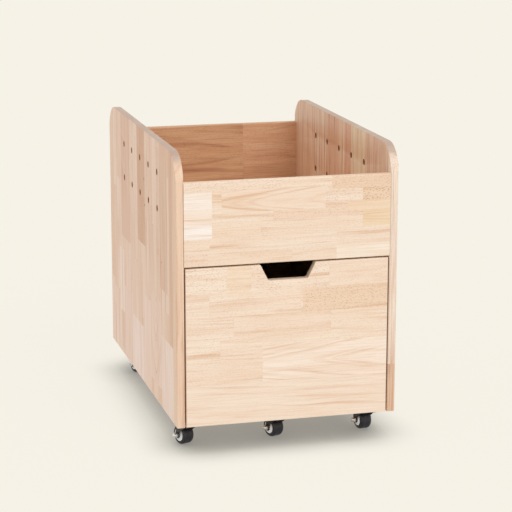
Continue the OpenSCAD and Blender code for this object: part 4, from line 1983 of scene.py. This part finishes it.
@dataclass
class Studio:
    """Seamless cream paper under even daylight, and the camera of the reference view.

    Attributes:
        paper: the paper's colour.
        shade: colour of the painted shadow where the object stands on it.
        shade_reach: how far that shade spreads, in metres.
        shade_full: open share of the sky below which the shade is full.
        shade_samples: samples of the sky.
        lit_share: how much of the lamp's own shadow is added.
        warmth: colour of the light.
        bounce: strength of the paper's glow, painted bounce light that it throws back at the
            object.
        daylight: strength of the even light.
        sun: strength of the lamp.
        sun_from: direction of the lamp.
        sun_angle: its width in degrees.
        paper_size: side of the paper, in metres.
        camera_at: the camera's place.
        aim: the point that it looks at.
        roll: its turn about its own axis, in degrees.
        focal_px: its focal length in pixels of an image of image_px.
        image_px: that image's width.
        sensor: width of the sensor, in millimetres.
        far_clip: how far it sees, in metres.
    """

    paper: str = "#f6f2e7"
    shade: str = "#918f88"
    shade_reach: float = 0.1
    shade_full: float = 0.2
    shade_samples: int = 16
    lit_share: float = 0.08
    warmth: tuple[float, float, float, float] = (1.0, 0.985, 0.96, 1.0)
    bounce: float = 0.84
    daylight: float = 0.8
    sun: float = 0.85
    sun_from: tuple[float, float, float] = (0.35, -1.0, 0.95)
    sun_angle: float = 34.0
    paper_size: float = 30.0
    camera_at: tuple[float, float, float] = (-0.9026, -3.4785, 1.1374)
    aim: tuple[float, float, float] = (-0.06114, -0.32, 0.37268)
    roll: float = 0.06
    focal_px: float = 1849.1
    image_px: float = 512.0
    sensor: float = 36.0
    far_clip: float = 200.0

    def build(self) -> None:
        """Builds the world, the floor, the lamp and the camera."""
        self.world()
        self.floor()
        self.lamp()
        self.camera()
        bpy.context.scene.view_settings.view_transform = "Standard"

    def world(self) -> None:
        """Lights evenly, and shows the paper's colour to the camera and in reflections."""
        world = bpy.data.worlds.new("daylight")
        bpy.context.scene.world = world
        world.use_nodes = True
        tree = world.node_tree
        tree.nodes.clear()
        path = add(tree, "ShaderNodeLightPath", output=None)
        seen = path.outputs["Is Camera Ray"]
        for ray in ("Is Glossy Ray", "Is Transmission Ray"):
            seen = add(tree, MATH, "MAXIMUM", {0: seen, 1: path.outputs[ray]})
        even, shown = (
            add(tree, "ShaderNodeBackground", inputs={"Color": colour, "Strength": strength})
            for colour, strength in ((self.warmth, self.daylight), (linear(self.paper), 1.0))
        )
        mix = add(tree, "ShaderNodeMixShader", inputs={0: seen, 1: even, 2: shown})
        add(tree, "ShaderNodeOutputWorld", inputs={"Surface": mix}, output=None)

    def floor(self) -> None:
        """Lays the paper, whose lit colour is the backdrop's."""
        half = self.paper_size / 2
        mesh = bpy.data.meshes.new("paper")
        corners = [(-half, -half, 0), (half, -half, 0), (half, half, 0), (-half, half, 0)]
        mesh.from_pydata(corners, [], [(0, 1, 2, 3)])
        mesh.materials.append(self.paper_material())
        link("studio_floor", mesh)

    def paper_material(self) -> bpy.types.Material:
        """Gives the paper: the backdrop's colour, with a soft painted shadow where the object
        stands close, and a glow that is painted bounce light.

        Returns:
            The material.
        """
        material, tree = new_material("studio_paper")
        away = Vector(self.sun_from).normalized()
        level = self.daylight + self.sun * away.z / math.pi
        paper = Vector(linear(self.paper)[:3]) / level
        lit = add(tree, "ShaderNodeBsdfDiffuse", inputs={"Color": (*paper, 1.0)})
        # Painted contact shadow: an occlusion mask blends the paper's shown colour towards shade
        # near the object.
        open_sky = add(
            tree,
            "ShaderNodeAmbientOcclusion",
            {"samples": self.shade_samples},
            {"Distance": self.shade_reach},
            output="AO",
        )
        fade = span((self.shade_full, 1.0), 0.0, 1.0)
        tone = add(tree, RANGE, "SMOOTHSTEP", {"Value": open_sky, **fade})
        tones = {6: linear(self.shade), 7: linear(self.paper)}
        colour = add(tree, MIX, "RGBA", {"Factor": tone, **tones}, output=2)
        # near shows that colour to the camera as a glow; bounce is a fixed glow for diffuse rays,
        # painted bounce light on the object.
        near, bounce = (
            add(tree, "ShaderNodeEmission", inputs={"Color": light, "Strength": strength})
            for light, strength in ((colour, 1.0), (self.warmth, self.bounce))
        )
        seen = add(tree, "ShaderNodeMixShader", inputs={0: self.lit_share, 1: near, 2: lit})
        path = add(tree, "ShaderNodeLightPath", output="Is Diffuse Ray")
        shader = add(tree, "ShaderNodeMixShader", inputs={0: path, 1: seen, 2: bounce})
        close_material(tree, shader)
        return material

    def lamp(self) -> None:
        """Sets the broad daylight lamp in front and above."""
        data = bpy.data.lights.new("window", "SUN")
        data.energy = self.sun
        data.angle = math.radians(self.sun_angle)
        data.color = self.warmth[:3]
        lamp = link("window", data)
        lamp.rotation_mode = "QUATERNION"
        lamp.rotation_quaternion = (-Vector(self.sun_from)).to_track_quat("-Z", "Y")

    def camera(self) -> None:
        """Sets the camera that was worked out from the boards' edges."""
        data = bpy.data.cameras.new("camera")
        data.sensor_width = self.sensor
        data.lens = self.focal_px * self.sensor / self.image_px
        data.clip_end = self.far_clip
        camera = link("camera", data)
        camera.location = self.camera_at
        camera.rotation_mode = "QUATERNION"
        look = (Vector(self.aim) - Vector(self.camera_at)).to_track_quat("-Z", "Y")
        camera.rotation_quaternion = look @ Quaternion((0, 0, 1), math.radians(self.roll))
        bpy.context.scene.camera = camera


def main() -> None:
    """Builds the object's looks and the studio."""
    logging.basicConfig(level=logging.INFO, format="%(message)s")
    bright = BrightSteel().material()
    steel, rubber, nylon = (f().material() for f in (BlackSteel, MouldedRubber, MouldedNylon))
    Case().build()
    Drawer().build()
    for where in Place:
        Castor(where, steel, bright, rubber, nylon).build()
    Hardware(ZincSteel().material(), bright, dowel_wood().material()).build()
    Studio().build()


if __name__ == "__main__":
    main()
